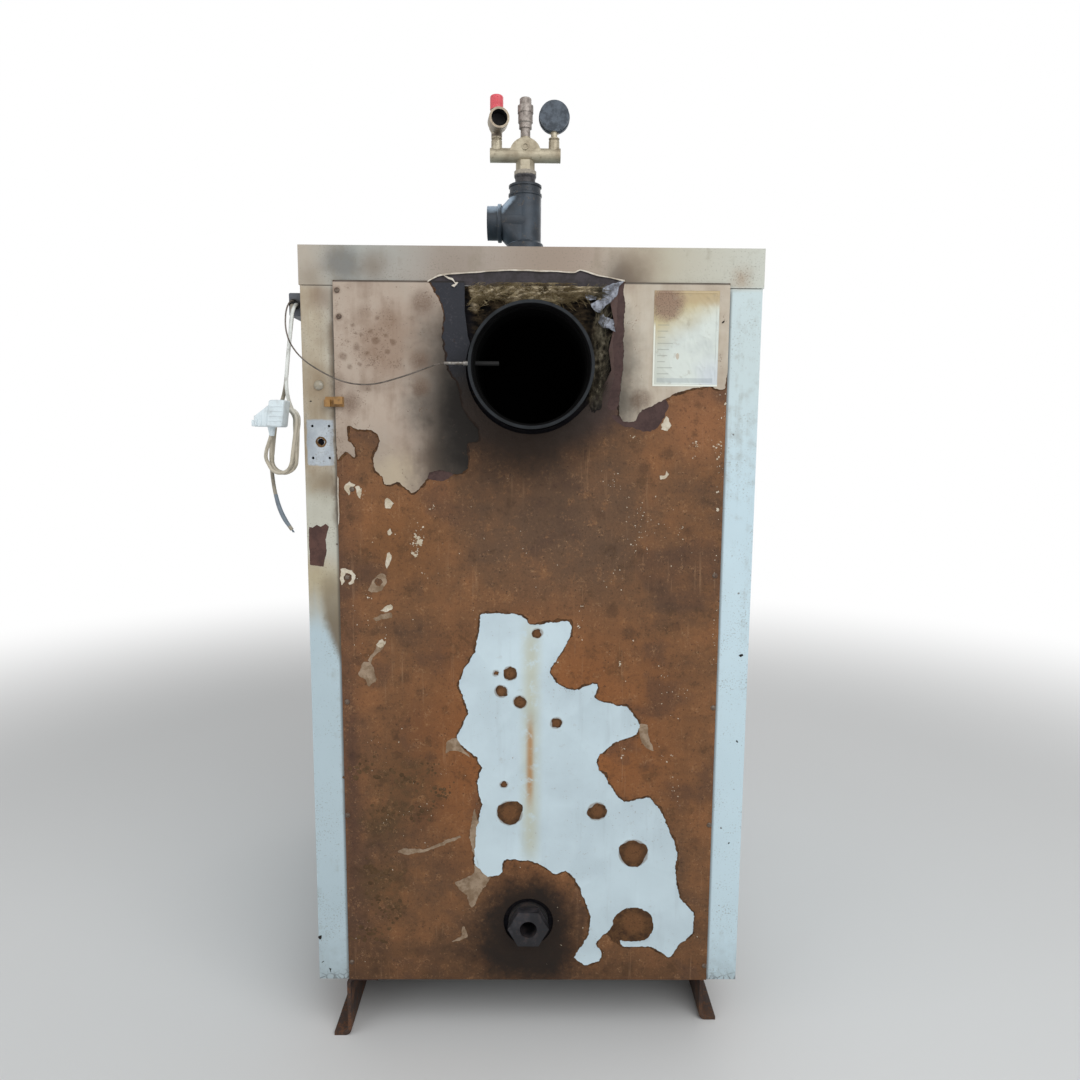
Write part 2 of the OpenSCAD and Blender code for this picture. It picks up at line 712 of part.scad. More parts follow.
module safety_manifold() {
    hex_z = tee_top + neck_h + neck_collar_h;
    groove = 1.4;
    color("#a8926c") translate([flow_x, flow_y, 0]) {
        translate([0, 0, hex_z]) cylinder(r = union_af / 2 / cos(30), h = union_h, $fn = 6);
        along_x([-bar_half, 0, bar_z], bar_r, 2 * bar_half);
        intersection() {
            along_y([0, -web_t / 2, bar_z], web_r, web_t);
            translate([-web_r, -web_t, bar_z]) cube([2 * web_r, 2 * web_t, web_r]);
        }
        translate([0, 0, bar_z]) cylinder(r = vent_nipple_r + vent_boss_rim, h = vent_z - bar_z);
        difference() {
            along_y([0, -web_t / 2 - groove, bar_z + bar_r], boss_r, groove + cut);
            along_y([0, -web_t / 2 - groove - cut, bar_z + bar_r], boss_r - groove, groove + cut);
        }
        for (side = [-1, 1]) translate([side * port_x, 0, bar_z]) rotate_extrude()
            polygon([[0, 0], [port_r, 0], [port_r, port_h - 3 * groove], [port_r - groove, port_h - 2 * groove],
                     [port_r - groove, port_h - groove], [port_r, port_h - groove], [port_r, port_h], [0, port_h]]);
    }
}

// Where the safety valve stands
module at_valve(z) {
    translate([flow_x - port_x, flow_y, z]) rotate(valve_turn) children();
}

module safety_valve() {
    inlet_h = outlet_rise - valve_r;
    ledge = 2;
    color("#9c8964") difference() {
        union() {
            at_valve(port_z) cylinder(r = port_r, h = inlet_h + cut);
            at_valve(outlet_z) rotate_extrude() polygon([[0, -valve_r], [port_r, -valve_r], [valve_r, -valve_r / 2],
                [valve_r, shoulder_h - ledge], [valve_r - ledge, shoulder_h], [valve_r - ledge, shoulder_h + bonnet_h],
                [spindle_r, shoulder_h + bonnet_h], [spindle_r, shoulder_h + bonnet_h + cap_bore_h - ledge],
                [0, shoulder_h + bonnet_h + cap_bore_h - ledge]]);
            at_valve(outlet_z) rotate([90, 0, 0]) rotate_extrude() polygon([[0, 0], [valve_r - ledge, 0],
                [outlet_r, valve_r - ledge], [outlet_r, outlet_reach], [0, outlet_reach]]);
        }
        at_valve(outlet_z) translate([0, -outlet_reach - cut, 0]) rotate([-90, 0, 0])
            cylinder(r = outlet_hole, h = outlet_depth + cut);
    }
}

module safety_valve_cap() {
    dome = 3;
    grip = 1.2;
    color("#b8323a") at_valve(cap_z) difference() {
        rotate_extrude() union() {
            square([cap_r, cap_h - dome]);
            square([cap_r - dome, cap_h]);
            translate([cap_r - dome, cap_h - dome]) circle(dome);
        }
        translate([0, 0, -cut]) cylinder(r = spindle_r + cap_fit, h = cap_bore_h + cut);
        for (k = [0 : cap_grips - 1]) rotate(360 * k / cap_grips)
            translate([cap_r + grip / 2, 0, 1.5 * dome]) cylinder(r = grip, h = cap_h - 3 * dome);
    }
}

module air_vent() {
    seal = 7;
    chamfer = 1.5;
    ring_z = vent_nipple_h + seal + vent_h - chamfer;
    head_z = ring_z + vent_ring_h;
    color("#9a8663") translate([flow_x, flow_y, vent_z]) rotate_extrude()
        polygon([[0, 0], [vent_nipple_r, 0], [vent_nipple_r, vent_nipple_h], [vent_r - chamfer, vent_nipple_h],
                 [vent_r - chamfer, vent_nipple_h + seal], [vent_r, vent_nipple_h + seal + chamfer],
                 [vent_r, ring_z], [vent_ring_r, ring_z], [vent_ring_r, head_z - chamfer], [vent_head_r, head_z],
                 [vent_head_r, head_z + vent_head_h - chamfer], [vent_head_r - chamfer, head_z + vent_head_h],
                 [0, head_z + vent_head_h]]);
}

// Point on the pressure gauge's axis, in front of the case's back
function gauge_at(y) = [flow_x + port_x, flow_y - gauge_d / 2 + y, gauge_z];

module pressure_gauge() {
    dial_r = gauge_r - 2;
    color("#3a3c40") difference() {
        union() {
            translate([flow_x + port_x, flow_y, port_z]) cylinder(r = stem_r, h = gauge_rise - gauge_r / 2);
            along_y(gauge_at(0), gauge_r, gauge_d);
            along_y(gauge_at(gauge_d - bezel_w), bezel_r, bezel_w);
        }
        along_y(gauge_at(gauge_d - dial_recess), dial_r, dial_recess + cut);
    }
}

module gauge_glass() {
    dial_r = gauge_r - 2;
    color("#dfe8ea") along_y(gauge_at(gauge_d - glass_t - cut), dial_r - screw_fit, glass_t);
}

module cable_clip() {
    base = 3;
    left_post = clip_w * 0.32;
    right_post = clip_w * 0.46;
    color("#b98a4a") {
        translate([clip_x, rear_y - base, clip_z]) cube([clip_w, base, clip_h]);
        translate([clip_x, rear_y - clip_reach, clip_z]) cube([left_post, clip_reach, clip_h * 0.7]);
        translate([clip_x + clip_w - right_post, rear_y - clip_reach, clip_z + clip_h * 0.25])
            cube([right_post, clip_reach, clip_h * 0.75]);
    }
}

module cable_outlet_box() {
    edge = 2;
    color("#4a4d55") difference() {
        pulled(outlet_box_y, outlet_box_d) union() {
            translate([-half_w - outlet_box_w + edge, outlet_box_z]) square([outlet_box_w - edge, outlet_box_h]);
            translate([-half_w - outlet_box_w, outlet_box_z + edge]) square([outlet_box_w, outlet_box_h - 2 * edge]);
            for (z = [edge, outlet_box_h - edge]) translate([-half_w - outlet_box_w + edge, outlet_box_z + z])
                circle(edge);
        }
        along_y([bushing_x, outlet_box_y - cut, bushing_z], bushing_r, bushing_stand + cut);
    }
}

module cable_bushing() {
    color("#0c0c0c") difference() {
        along_y([bushing_x, bushing_y, bushing_z], bushing_r, 2 * bushing_stand);
        along_y([bushing_x, bushing_y - cut, bushing_z], bushing_mouth, bushing_recess + cut);
    }
}

module mains_lead() {
    color("#dcdedb") {
        cord(hung(mains_drop), mains_r, [0, -1, 0], [0, 0, -1], [1, 0, 0]);
        cord(hung(plug_strand), mains_r, [0, -1, 0], [0, 0, 1], [1, 0, 0]);
    }
}

module mains_hank() {
    fold = hank_w / 2;
    run = hank_h - hank_w;
    color("#d6d8d4") translate([hank_middle[0], 0, hank_middle[2]])
        pulled(hank_middle[1] - hank_t / 2, hank_t) {
            for (side = [-1, 1]) translate([0, side * run / 2]) circle(fold);
            square([hank_w, run], center = true);
        }
}

module mains_plug() {
    block = [18, 28, 37];
    nose = 26;
    taper = 9;
    color("#e6ebee") translate(plug_middle) {
        translate([-block[0] / 2, -block[1] / 2, -block[2] / 2]) cube(block);
        translate([0, block[1] / 2, 0]) rotate([90, 0, 0]) linear_extrude(block[1])
            polygon([[-block[0] / 2, -block[2] / 2 + 1], [-block[0] / 2, block[2] / 2 - 1],
                     [-block[0] / 2 - nose, block[2] / 2 - taper - 4], [-block[0] / 2 - nose, -block[2] / 2 + 1]]);
    }
}

module cut_lead() {
    color("#b9b7b0") cord(hung(cut_drop), cut_r, [0, -1, 0], unit([9, 0.5, -20]), [1, 0, 0]);
}

module flue_capillary() {
    color("#6f6c69") cord(slung(capillary_run, capillary_from, capillary_to), capillary_r, [0, -1, 0], [1, 0, 0], [0, 0, 1]);
}

// Edge of a door on its hinge side and on its handle side
hinge_out = 14;
handle_in = 34;
hinge_x = -door_w / 2 - hinge_out;
handle_x = door_w / 2 - handle_in;
hinge_y = front_y + frame_stand + door_plate / 2;

// Heights of a door's two hinges
function hinge_heights(z, h) = [foot_h + z + h * 0.18, foot_h + z + h * 0.82];

// Door plate with a raised cover, lugs for its hinges and a boss for its handle
module door(z, h) {
    face_y = front_y + frame_stand;
    lug = hinge_len / 2;
    color("#3b3f45") difference() {
        union() {
            translate([0, 0, foot_h + z + h / 2]) {
                pulled(face_y, door_plate) round_rect(door_w, h, door_round);
                pulled(face_y + door_plate, door_cover)
                    round_rect(door_w - 2 * door_border, h - 2 * door_border, door_round);
            }
            for (at = hinge_heights(z, h)) translate([0, 0, at - lug / 2]) {
                translate([hinge_x, face_y, 0]) cube([-door_w / 2 - hinge_x + cut, door_plate, lug]);
                translate([hinge_x, hinge_y, 0]) cylinder(r = 2 * hinge_r, h = lug);
            }
        }
        for (at = hinge_heights(z, h)) translate([hinge_x, hinge_y, at - hinge_len])
            cylinder(r = hinge_r + hinge_fit, h = 2 * hinge_len);
        along_y([handle_x, face_y - cut, foot_h + z + h / 2], lever_r + hinge_fit, door_front);
    }
}

// Pins with their brackets on the front panel
module door_hinges(z, h) {
    lug = hinge_len / 2;
    ear = (hinge_len - lug) / 2 - hinge_fit;
    color("#2f3338") for (at = hinge_heights(z, h)) {
        translate([hinge_x, hinge_y, at - hinge_len / 2]) cylinder(r = hinge_r, h = hinge_len);
        for (low = [at - hinge_len / 2, at + hinge_len / 2 - ear]) {
            translate([hinge_x, hinge_y, low]) cylinder(r = 2 * hinge_r, h = ear);
            translate([hinge_x - 2 * hinge_r, front_y, low]) cube([3 * hinge_r, hinge_y - front_y, ear]);
        }
    }
}

// Lever on a spindle through the door, with a round grip at its end
module door_handle(z, h) {
    middle = foot_h + z + h / 2;
    lever_y = front_y + door_front + handle_reach - grip_r;
    spindle = lever_y - front_y - frame_stand;
    color("#26282b") {
        along_y([handle_x, front_y + frame_stand, middle], lever_r, spindle);
        translate([handle_x, lever_y, middle]) sphere(lever_r);
        translate([handle_x, lever_y, middle - lever_len]) cylinder(r = lever_r, h = lever_len);
        translate([handle_x, lever_y, middle - lever_len]) rotate_extrude() intersection() {
            translate([0, -grip_r]) square([grip_r, lever_len]);
            union() {
                circle(grip_r);
                translate([0, 0]) square([grip_r, lever_len * 0.45]);
            }
        }
    }
}

module loading_door() { door(loading_z, loading_h); }
module loading_door_hinges() { door_hinges(loading_z, loading_h); }
module loading_door_handle() { door_handle(loading_z, loading_h); }
module lower_door() { door(lower_z, lower_h); }
module lower_door_hinges() { door_hinges(lower_z, lower_h); }
module lower_door_handle() { door_handle(lower_z, lower_h); }

// Sheet box over the combustion air fan, between the doors
module air_box() {
    low = foot_h + air_z;
    wall = 2;
    pitch = (air_w - 60) / air_slots;
    color("#3b3f45") difference() {
        translate([-air_w / 2, front_y, low]) cube([air_w, air_d, air_h]);
        for (k = [0 : air_slots - 1])
            translate([pitch * (k - (air_slots - 1) / 2), front_y + air_d - wall, low + air_h / 2])
                cube([pitch * 0.4, 4 * wall, air_h * 0.6], center = true);
    }
}

fascia_face = front_y + fascia_d;
fascia_mid = foot_h + fascia_z + fascia_h / 2;
thermo_x = 130;
knob_x = 0;
switch_x = -130;
dial_depth = 12;
switch_w = 24;
switch_h = 34;

module control_fascia() {
    slope = 8;
    color("#34383d") difference() {
        translate([-fascia_w / 2, 0, 0]) rotate([90, 0, 90]) linear_extrude(fascia_w)
            polygon([[front_y, fascia_mid - fascia_h / 2], [fascia_face - slope, fascia_mid - fascia_h / 2],
                     [fascia_face, fascia_mid - fascia_h / 2 + slope], [fascia_face, fascia_mid + fascia_h / 2 - slope],
                     [fascia_face - slope, fascia_mid + fascia_h / 2], [front_y, fascia_mid + fascia_h / 2]]);
        along_y([thermo_x, fascia_face - dial_depth, fascia_mid], thermo_r - 3 + screw_fit, dial_depth + cut);
        along_y([knob_x, fascia_face - dial_depth, fascia_mid], knob_r / 3 + screw_fit, dial_depth + cut);
        translate([switch_x, fascia_face, fascia_mid])
            cube([switch_w + 2 * screw_fit, 2 * dial_depth, switch_h + 2 * screw_fit], center = true);
    }
}

module thermometer() {
    flange = 3;
    color("#b9bcc0") {
        along_y([thermo_x, fascia_face - dial_depth, fascia_mid], thermo_r - flange, dial_depth + cut);
        difference() {
            along_y([thermo_x, fascia_face, fascia_mid], thermo_r, 2 * flange);
            along_y([thermo_x, fascia_face + flange, fascia_mid], thermo_r - flange, 2 * flange);
        }
    }
}

module thermostat_knob() {
    flutes = 12;
    skirt = 4;
    color("#1d1e20") difference() {
        union() {
            along_y([knob_x, fascia_face - dial_depth, fascia_mid], knob_r / 3, dial_depth + cut);
            along_y([knob_x, fascia_face + screw_fit, fascia_mid], knob_r, skirt);
            along_y([knob_x, fascia_face + skirt, fascia_mid], knob_r * 0.85, 3 * skirt);
        }
        for (k = [0 : flutes - 1]) translate([knob_x, 0, fascia_mid]) rotate([0, 360 * k / flutes, 0])
            along_y([knob_r * 0.92, fascia_face + skirt + cut, 0], knob_r * 0.13, 4 * skirt);
    }
}

module power_switch() {
    rock = 4;
    color("#141416") translate([switch_x - switch_w / 2, 0, fascia_mid]) rotate([90, 0, 90]) linear_extrude(switch_w)
        polygon([[fascia_face - dial_depth, -switch_h / 2], [fascia_face + 1, -switch_h / 2],
                 [fascia_face + 1, -switch_h / 2 + rock], [fascia_face + 1.5, 0],
                 [fascia_face + 1 + rock, switch_h / 2 - rock], [fascia_face + 1, switch_h / 2],
                 [fascia_face - dial_depth, switch_h / 2]]);
}

left_foot_rail();
right_foot_rail();
boiler_vessel();
mineral_wool();
rear_panel();
left_side_panel();
right_side_panel();
top_cover();
front_panel();
flue_spigot();
flue_probe();
return_socket();
return_bush();
flow_pipe();
flow_tee();
reducing_bush();
safety_manifold();
safety_valve();
safety_valve_cap();
air_vent();
pressure_gauge();
gauge_glass();
cable_clip();
cable_outlet_box();
cable_bushing();
mains_lead();
mains_hank();
mains_plug();
cut_lead();
flue_capillary();
loading_door();
loading_door_hinges();
loading_door_handle();
lower_door();
lower_door_hinges();
lower_door_handle();
air_box();
control_fascia();
thermometer();
thermostat_knob();
power_switch();
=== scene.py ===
"""Looks of a weathered wood gasification boiler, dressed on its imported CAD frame."""

import math
import random

import bmesh
import bpy
from bpy.props import FloatProperty, FloatVectorProperty, IntProperty, PointerProperty
from mathutils import Matrix, Vector, noise
from mathutils.geometry import interpolate_bezier


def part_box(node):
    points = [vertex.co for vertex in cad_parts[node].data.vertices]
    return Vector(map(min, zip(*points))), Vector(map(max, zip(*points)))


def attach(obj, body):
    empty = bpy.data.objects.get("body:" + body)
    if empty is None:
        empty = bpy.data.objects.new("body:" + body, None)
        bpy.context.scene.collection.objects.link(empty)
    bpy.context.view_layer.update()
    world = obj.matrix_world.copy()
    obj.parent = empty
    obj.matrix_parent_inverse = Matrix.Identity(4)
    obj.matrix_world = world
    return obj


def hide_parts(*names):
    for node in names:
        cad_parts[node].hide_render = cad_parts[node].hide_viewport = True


bl_info = {
    "name": "Weathered wood boiler",
    "version": (1, 0, 0),
    "blender": (4, 5, 0),
    "location": "View3D > Sidebar > Boiler",
    "description": "Dresses the packed boiler with rust, paint, soot, cords and small fittings",
    "category": "Object",
}

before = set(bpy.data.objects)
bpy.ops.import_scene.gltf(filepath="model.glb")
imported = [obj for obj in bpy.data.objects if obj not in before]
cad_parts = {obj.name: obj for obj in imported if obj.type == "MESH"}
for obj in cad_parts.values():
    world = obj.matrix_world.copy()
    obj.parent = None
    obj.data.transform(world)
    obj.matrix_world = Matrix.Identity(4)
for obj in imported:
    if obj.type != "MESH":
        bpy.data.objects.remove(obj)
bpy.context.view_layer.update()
MM = 0.001
EDGE_SEED = 5

# Places on the part, in metres
REAR_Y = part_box("rear_panel")[0].y
STRIP_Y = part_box("left_side_panel")[0].y
FLUE_Z = 0.958
GAP_SHADE_FROM = 1.0648
# Band just under the top edge of the rear panel, painted dark as the shade in the gap under the skirt
GAP_SHADE_TO = 1.0665
PLATE = (0.2015, 0.997)
PLATE_SIZE = (0.085, 0.122)
BACKWARD = (0, -1, 0)
RETURN_Z = sum(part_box("return_bush"), Vector()).z / 2
VALVE = sum(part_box("safety_valve_cap"), Vector()) / 2
VALVE_TURN = math.radians(10)
OUTLET_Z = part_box("safety_valve_cap")[0].z - 0.0218
VALVE_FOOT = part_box("safety_valve")[0].z
GAUGE_Z = 1.3316


def tint(code):
    """Linear colour with alpha from a six-digit sRGB code."""
    parts = [int(code[i : i + 2], 16) / 255 for i in (0, 2, 4)]
    return tuple(c / 12.92 if c <= 0.04045 else ((c + 0.055) / 1.055) ** 2.4 for c in parts) + (1.0,)


def shade(value):
    """Linear colour of a code, or the value itself where it is no code."""
    return tint(value) if isinstance(value, str) else value


def colour_prop(name, words, code):
    """Colour property of a PropertyGroup."""
    return FloatVectorProperty(
        name=name, description=words, default=tint(code), size=4, min=0, max=1, subtype="COLOR"
    )


def length_prop(name, words, value):
    """Length property of a PropertyGroup, in metres."""
    return FloatProperty(name=name, description=words, default=value, min=0, unit="LENGTH", precision=5)


def angle_prop(name, words, degrees):
    """Angle property of a PropertyGroup."""
    return FloatProperty(name=name, description=words, default=math.radians(degrees), subtype="ANGLE")


class StageSettings(bpy.types.PropertyGroup):
    """Camera, light and floor."""

    camera_place: FloatVectorProperty(
        name="Camera place", description="Where the camera stands", default=(0.00413, -1.5145, 0.86693),
        subtype="TRANSLATION", unit="LENGTH", precision=5,
    )
    camera_down: angle_prop("Camera tilt", "How far the camera looks down", 7.149)
    camera_turn: angle_prop("Camera turn", "How far the camera looks to the right", 0.462)
    camera_roll: angle_prop("Camera roll", "How far the camera leans to the left", 0.404)
    lens: FloatProperty(name="Lens", description="Focal length, 36 mm sensor", default=27.03, unit="CAMERA")
    key_power: FloatProperty(name="Key", description="Power of the large lamp", default=50, unit="POWER")
    fill_power: FloatProperty(name="Fill", description="Power of the second lamp", default=13, unit="POWER")
    sky: FloatProperty(name="Sky", description="Strength of the even light all round", default=0.42, min=0)
    floor: colour_prop("Floor", "Colour of the studio floor", "dedfdf")


class CasingSettings(bpy.types.PropertyGroup):
    """Rust, paint and soot of the casing."""

    rust: colour_prop("Rust", "Middle tone of the rusted rear panel", "704f35")
    rust_dark: colour_prop("Dark rust", "Dark patches of the rust", "543f30")
    rust_light: colour_prop("Light rust", "Fresh orange patches of the rust", "845a3a")
    pale: colour_prop("Pale paint", "Sound paint of the casing", "bfd2da")
    beige: colour_prop("Scorched paint", "Paint that heat has turned beige", "aa9b8d")
    soot: colour_prop("Soot", "Soot round the flue and the return", "15110e")
    blued: colour_prop("Blued steel", "Bare steel that heat has blued", "23252c")
    film: length_prop("Paint film", "Thickness of the paint that is left", 0.0004)
    ragged: length_prop("Ragged edge", "How far the edge of the paint wanders", 0.0016)
    flakes: IntProperty(name="Flakes", description="Small flakes left on the rust", default=120, min=0)


class CordSettings(bpy.types.PropertyGroup):
    """Free cords on the left side."""

    mains: length_prop("Mains lead", "Diameter of the mains lead", 0.0047)
    cut: length_prop("Cut lead", "Diameter of the lead that was cut off", 0.005)
    capillary: length_prop("Capillary", "Diameter of the flue probe's capillary", 0.002)
    turns: FloatProperty(name="Turns", description="Turns of the mains lead in its hank", default=3.47, min=1)
    white: colour_prop("White sheath", "Sheath of the mains lead", "d5d8d4")


class FittingSettings(bpy.types.PropertyGroup):
    """Pipe fittings and safety group."""

    iron: colour_prop("Malleable iron", "Tee and pipe", "20262d")
    brass: colour_prop("Old brass", "Dull brass of the safety group", "aaa18c")


class Wire:
    """One output of a finish's nodes. Arithmetic on it adds Math nodes."""

    def __init__(self, finish, socket):
        self.finish = finish
        self.socket = socket

    def math(self, operation, first, second):
        """Adds a Math node."""
        return self.finish.node("Math", {"operation": operation}, {0: first, 1: second})

    def __add__(self, other):
        return self.math("ADD", self, other)

    __radd__ = __add__

    def __sub__(self, other):
        return self.math("SUBTRACT", self, other)

    def __rsub__(self, other):
        return self.math("SUBTRACT", other, self)

    def __mul__(self, other):
        return self.math("MULTIPLY", self, other)

    __rmul__ = __mul__

    def __truediv__(self, other):
        return self.math("DIVIDE", self, other)

    def __pow__(self, other):
        return self.math("POWER", self, other)

    def __abs__(self):
        return self.finish.node("Math", {"operation": "ABSOLUTE"}, {0: self})

    def over(self, other):
        """The larger of two values."""
        return self.math("MAXIMUM", self, other)


def pick(sockets, key):
    """Socket of a node by its place or name, among those in use."""
    used = [s for s in sockets if s.enabled]
    if isinstance(key, int):
        return used[key]
    return next(s for s in used if s.name == key)


class Finish:
    """A material in the making."""

    def __init__(self, name, world=None):
        self.material = world or bpy.data.materials.new(name)
        self.material.use_nodes = True
        self.tree = self.material.node_tree
        self.tree.nodes.clear()
        self.tone = None
        self.place = self.node("TexCoord", out="Object")
        whole = {"Vector": self.place}
        self.x, self.y, self.z = [self.node("SeparateXYZ", None, whole, axis) for axis in "XYZ"]

    def node(self, kind, settings=None, inputs=None, out=0):
        """Adds a node: its settings first, then the values or links of its sockets."""
        made = self.tree.nodes.new("ShaderNode" + kind)
        for key, value in (settings or {}).items():
            if key == "stops":
                for place, colour in value[len(made.color_ramp.elements) :]:
                    made.color_ramp.elements.new(place)
                for stop, (place, colour) in zip(made.color_ramp.elements, value):
                    stop.position = place
                    stop.color = shade(colour)
            else:
                setattr(made, key, value)
        for key, value in (inputs or {}).items():
            socket = pick(made.inputs, key)
            if isinstance(value, Wire):
                self.tree.links.new(value.socket, socket)
            else:
                socket.default_value = shade(value)
        return Wire(self, pick(made.outputs, out)) if made.outputs else made

    def grain(self, scale, detail=4.0, rough=0.55, stretch=None, turn=0.0):
        """Noise of a scale per metre, drawn out along an axis where stretch says so, turned about Y."""
        where = self.place
        if stretch:
            where = self.node("Mapping", None, {"Vector": where, "Rotation": (0, turn, 0)})
            where = self.node("Mapping", None, {"Vector": where, "Scale": stretch})
        inputs = {"Vector": where, "Scale": scale, "Detail": detail, "Roughness": rough}
        return self.node("TexNoise", None, inputs)

    def cells(self, scale, feature="F1"):
        """Distance in a pattern of cells."""
        inputs = {"Vector": self.place, "Scale": scale}
        return self.node("TexVoronoi", {"feature": feature}, inputs, "Distance")

    def ease(self, value, low, high):
        """0 below low to 1 above high, or the other way round where low is the larger."""
        inputs = {"Value": value, "From Min": low, "From Max": high}
        return self.node("MapRange", {"interpolation_type": "SMOOTHSTEP"}, inputs)

    def mix(self, share, first, second):
        """Two colours mixed by a share."""
        return self.node("Mix", {"data_type": "RGBA"}, {"Factor": share, "A": first, "B": second})

    def coat(self, share, colour):
        """Lays a share of a colour over the tone so far."""
        self.tone = self.mix(share, self.tone, colour)

    def wear(self, value, low, high, share, colour):
        """Lays a colour where a value goes from low to high."""
        self.coat(self.ease(value, low, high) * share, colour)

    def stain(self, share, colour, *spot):
        """Lays a colour on a round spot of the rear."""
        self.coat(self.spot(*spot) * share, colour)

    def tones(self, value, *stops):
        """Colour ramp over a value."""
        return self.node("ValToRGB", {"stops": stops}, {"Fac": value})

    def far(self, point):
        """Distance from a point, in metres."""
        return self.node("VectorMath", {"operation": "DISTANCE"}, {0: self.place, 1: point}, "Value")

    def spot(self, x, z, inner, outer, stray=0.0, plane=REAR_Y):
        """Share of a round stain on the rear, whole inside one radius and gone outside the other."""
        return self.ease(self.far((x, plane, z)) + stray, outer, inner)

    def near_line(self, x, width, low, high, fade):
        """Share of an upright stripe at x, between two heights."""
        gap = abs(self.x - x)
        ends = self.ease(self.z, low, low + fade) * self.ease(self.z, high, high - fade)
        return self.ease(gap, width, 0.0) * ends

    def relief(self, height, strength, depth):
        """Bump of a height pattern, its depth in metres."""
        return self.node("Bump", None, {"Height": height, "Strength": strength, "Distance": depth}, "Normal")

    def done(self, **inputs):
        """Closes the finish with one Principled surface of its tone and returns the material."""
        sockets = {"Base Color": self.tone}
        for key, value in inputs.items():
            sockets[key.replace("_", " ").title().replace("Ior", "IOR")] = value
        surface = self.node("BsdfPrincipled", None, sockets)
        self.node("OutputMaterial", None, {"Surface": surface})
        return self.material


FINISHES = {}


def finish_of(name, maker):
    """The material of that name, made once."""
    if name not in FINISHES:
        FINISHES[name] = maker(name)
    return FINISHES[name]


def piece(name, shape, finish, body="boiler", crease=35):
    """Object of a finished shape, riding on its body."""
    mesh = bpy.data.meshes.new(name)
    shape.to_mesh(mesh)
    shape.free()
    mesh.materials.append(finish)
    mesh.shade_smooth()
    mesh.set_sharp_from_angle(angle=math.radians(crease))
    made = bpy.data.objects.new(name, mesh)
    bpy.context.scene.collection.objects.link(made)
    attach(made, body)
    return made


def dress(finish, *nodes):
    """Gives CAD nodes a finish."""
    for node in nodes:
        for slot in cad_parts[node].material_slots:
            slot.material = finish


def turned(profile, steps=32):
    """Shape turned about Z from pairs of radius and height, in millimetres."""
    shape = bmesh.new()
    verts = [shape.verts.new((r * MM, 0, h * MM)) for r, h in profile]
    edges = [shape.edges.new(pair) for pair in zip(verts, verts[1:])]
    bmesh.ops.spin(
        shape, geom=verts + edges, cent=(0, 0, 0), axis=(0, 0, 1), angle=2 * math.pi, steps=steps,
        use_merge=True,
    )
    bmesh.ops.remove_doubles(shape, verts=shape.verts[:], dist=1e-6)
    bmesh.ops.dissolve_degenerate(shape, edges=shape.edges[:], dist=1e-7)
    bmesh.ops.recalc_face_normals(shape, faces=shape.faces[:])
    return shape


def block(size, edge=0.4, steps=2):
    """Box of a size in millimetres about its middle, with rounded edges."""
    shape = bmesh.new()
    bmesh.ops.create_cube(shape, size=1)
    bmesh.ops.scale(shape, vec=Vector(size) * MM, verts=shape.verts[:])
    bmesh.ops.bevel(
        shape, geom=shape.edges[:], offset=edge * MM, segments=steps, profile=0.5, affect="EDGES", material=-1
    )
    return shape


def put(target, shape, place, axis=(0, 0, 1), roll=0.0):
    """Sets a shape into another one at a place in millimetres, with its Z along axis."""
    turn = Vector((0, 0, 1)).rotation_difference(Vector(axis)).to_matrix().to_4x4()
    lie = Matrix.Translation(Vector(place) * MM) @ turn @ Matrix.Rotation(roll, 4, "Z")
    bmesh.ops.transform(shape, matrix=lie, verts=shape.verts[:])
    held = bpy.data.meshes.new("held")
    shape.to_mesh(held)
    shape.free()
    target.from_mesh(held)
    bpy.data.meshes.remove(held)


def flowing(outline, step, closed=True, soft=0.3):
    """Points every few millimetres on a smooth line through an outline."""
    knots = [Vector(p) for p in outline]
    last = len(knots) if closed else len(knots) - 1
    points = []
    for i in range(last):
        a, b = knots[i], knots[(i + 1) % len(knots)]
        before = knots[i - 1] if closed or i else a
        after = knots[(i + 2) % len(knots)] if closed or i + 2 < len(knots) else b
        reach = (b - a).length * soft
        out = a + (b - before).normalized() * reach
        back = b - (after - a).normalized() * reach
        count = max(1, round((b - a).length / step))
        points += interpolate_bezier(a, out, back, b, count + 1)[:-1]
    return points if closed else points + [knots[-1]]


def grown(line, reach):
    """Closed line moved outward by a reach that varies along it, in millimetres."""
    pairs = list(zip(line, line[1:] + line[:1]))
    way = 1 if sum(a.x * b.y - b.x * a.y for a, b in pairs) > 0 else -1
    moved = []
    for before, here, after in zip(line[-1:] + line[:-1], line, line[1:] + line[:1]):
        along = (after - before).normalized()
        share = 0.75 + 0.9 * noise.noise(Vector((here.x * 0.09, here.y * 0.09, 5.0)))
        moved.append(here + Vector((along.y, -along.x)) * way * reach * max(0.0, share))
    return moved


def closed_line(shape, line, plane):
    """Adds a closed line on an upright plane, from points in millimetres."""
    verts = [shape.verts.new((p[0] * MM, plane, p[1] * MM)) for p in line]
    for pair in zip(verts, verts[1:] + verts[:1]):
        shape.edges.new(pair)


def back_up(shape, faces, depth):
    """Gives faces on the rear sides and a back, some depth in from them."""
    made = bmesh.ops.extrude_face_region(shape, geom=faces, use_keep_orig=True)
    for vert in made["geom"]:
        if isinstance(vert, bmesh.types.BMVert):
            vert.co.y += depth


def upright_grid(columns, rows, centre, wide, high):
    """Flat grid that faces the rear, in metres."""
    shape = bmesh.new()
    lie = Matrix.Translation(centre) @ Matrix.Rotation(math.pi / 2, 4, "X")
    lie = lie @ Matrix.Diagonal((wide, high, 1, 1))
    bmesh.ops.create_grid(shape, x_segments=columns, y_segments=rows, size=0.5, matrix=lie)
    return shape


def bare_spot(x, z, radius):
    """Wavering ring of points in millimetres."""
    turns = [t * 0.2 for t in range(31)]
    reach = [radius * (1 + 0.3 * noise.noise(Vector((math.cos(t), math.sin(t), x * 0.37)))) for t in turns]
    return [Vector((x + r * math.cos(t), z + r * math.sin(t))) for t, r in zip(turns, reach)]


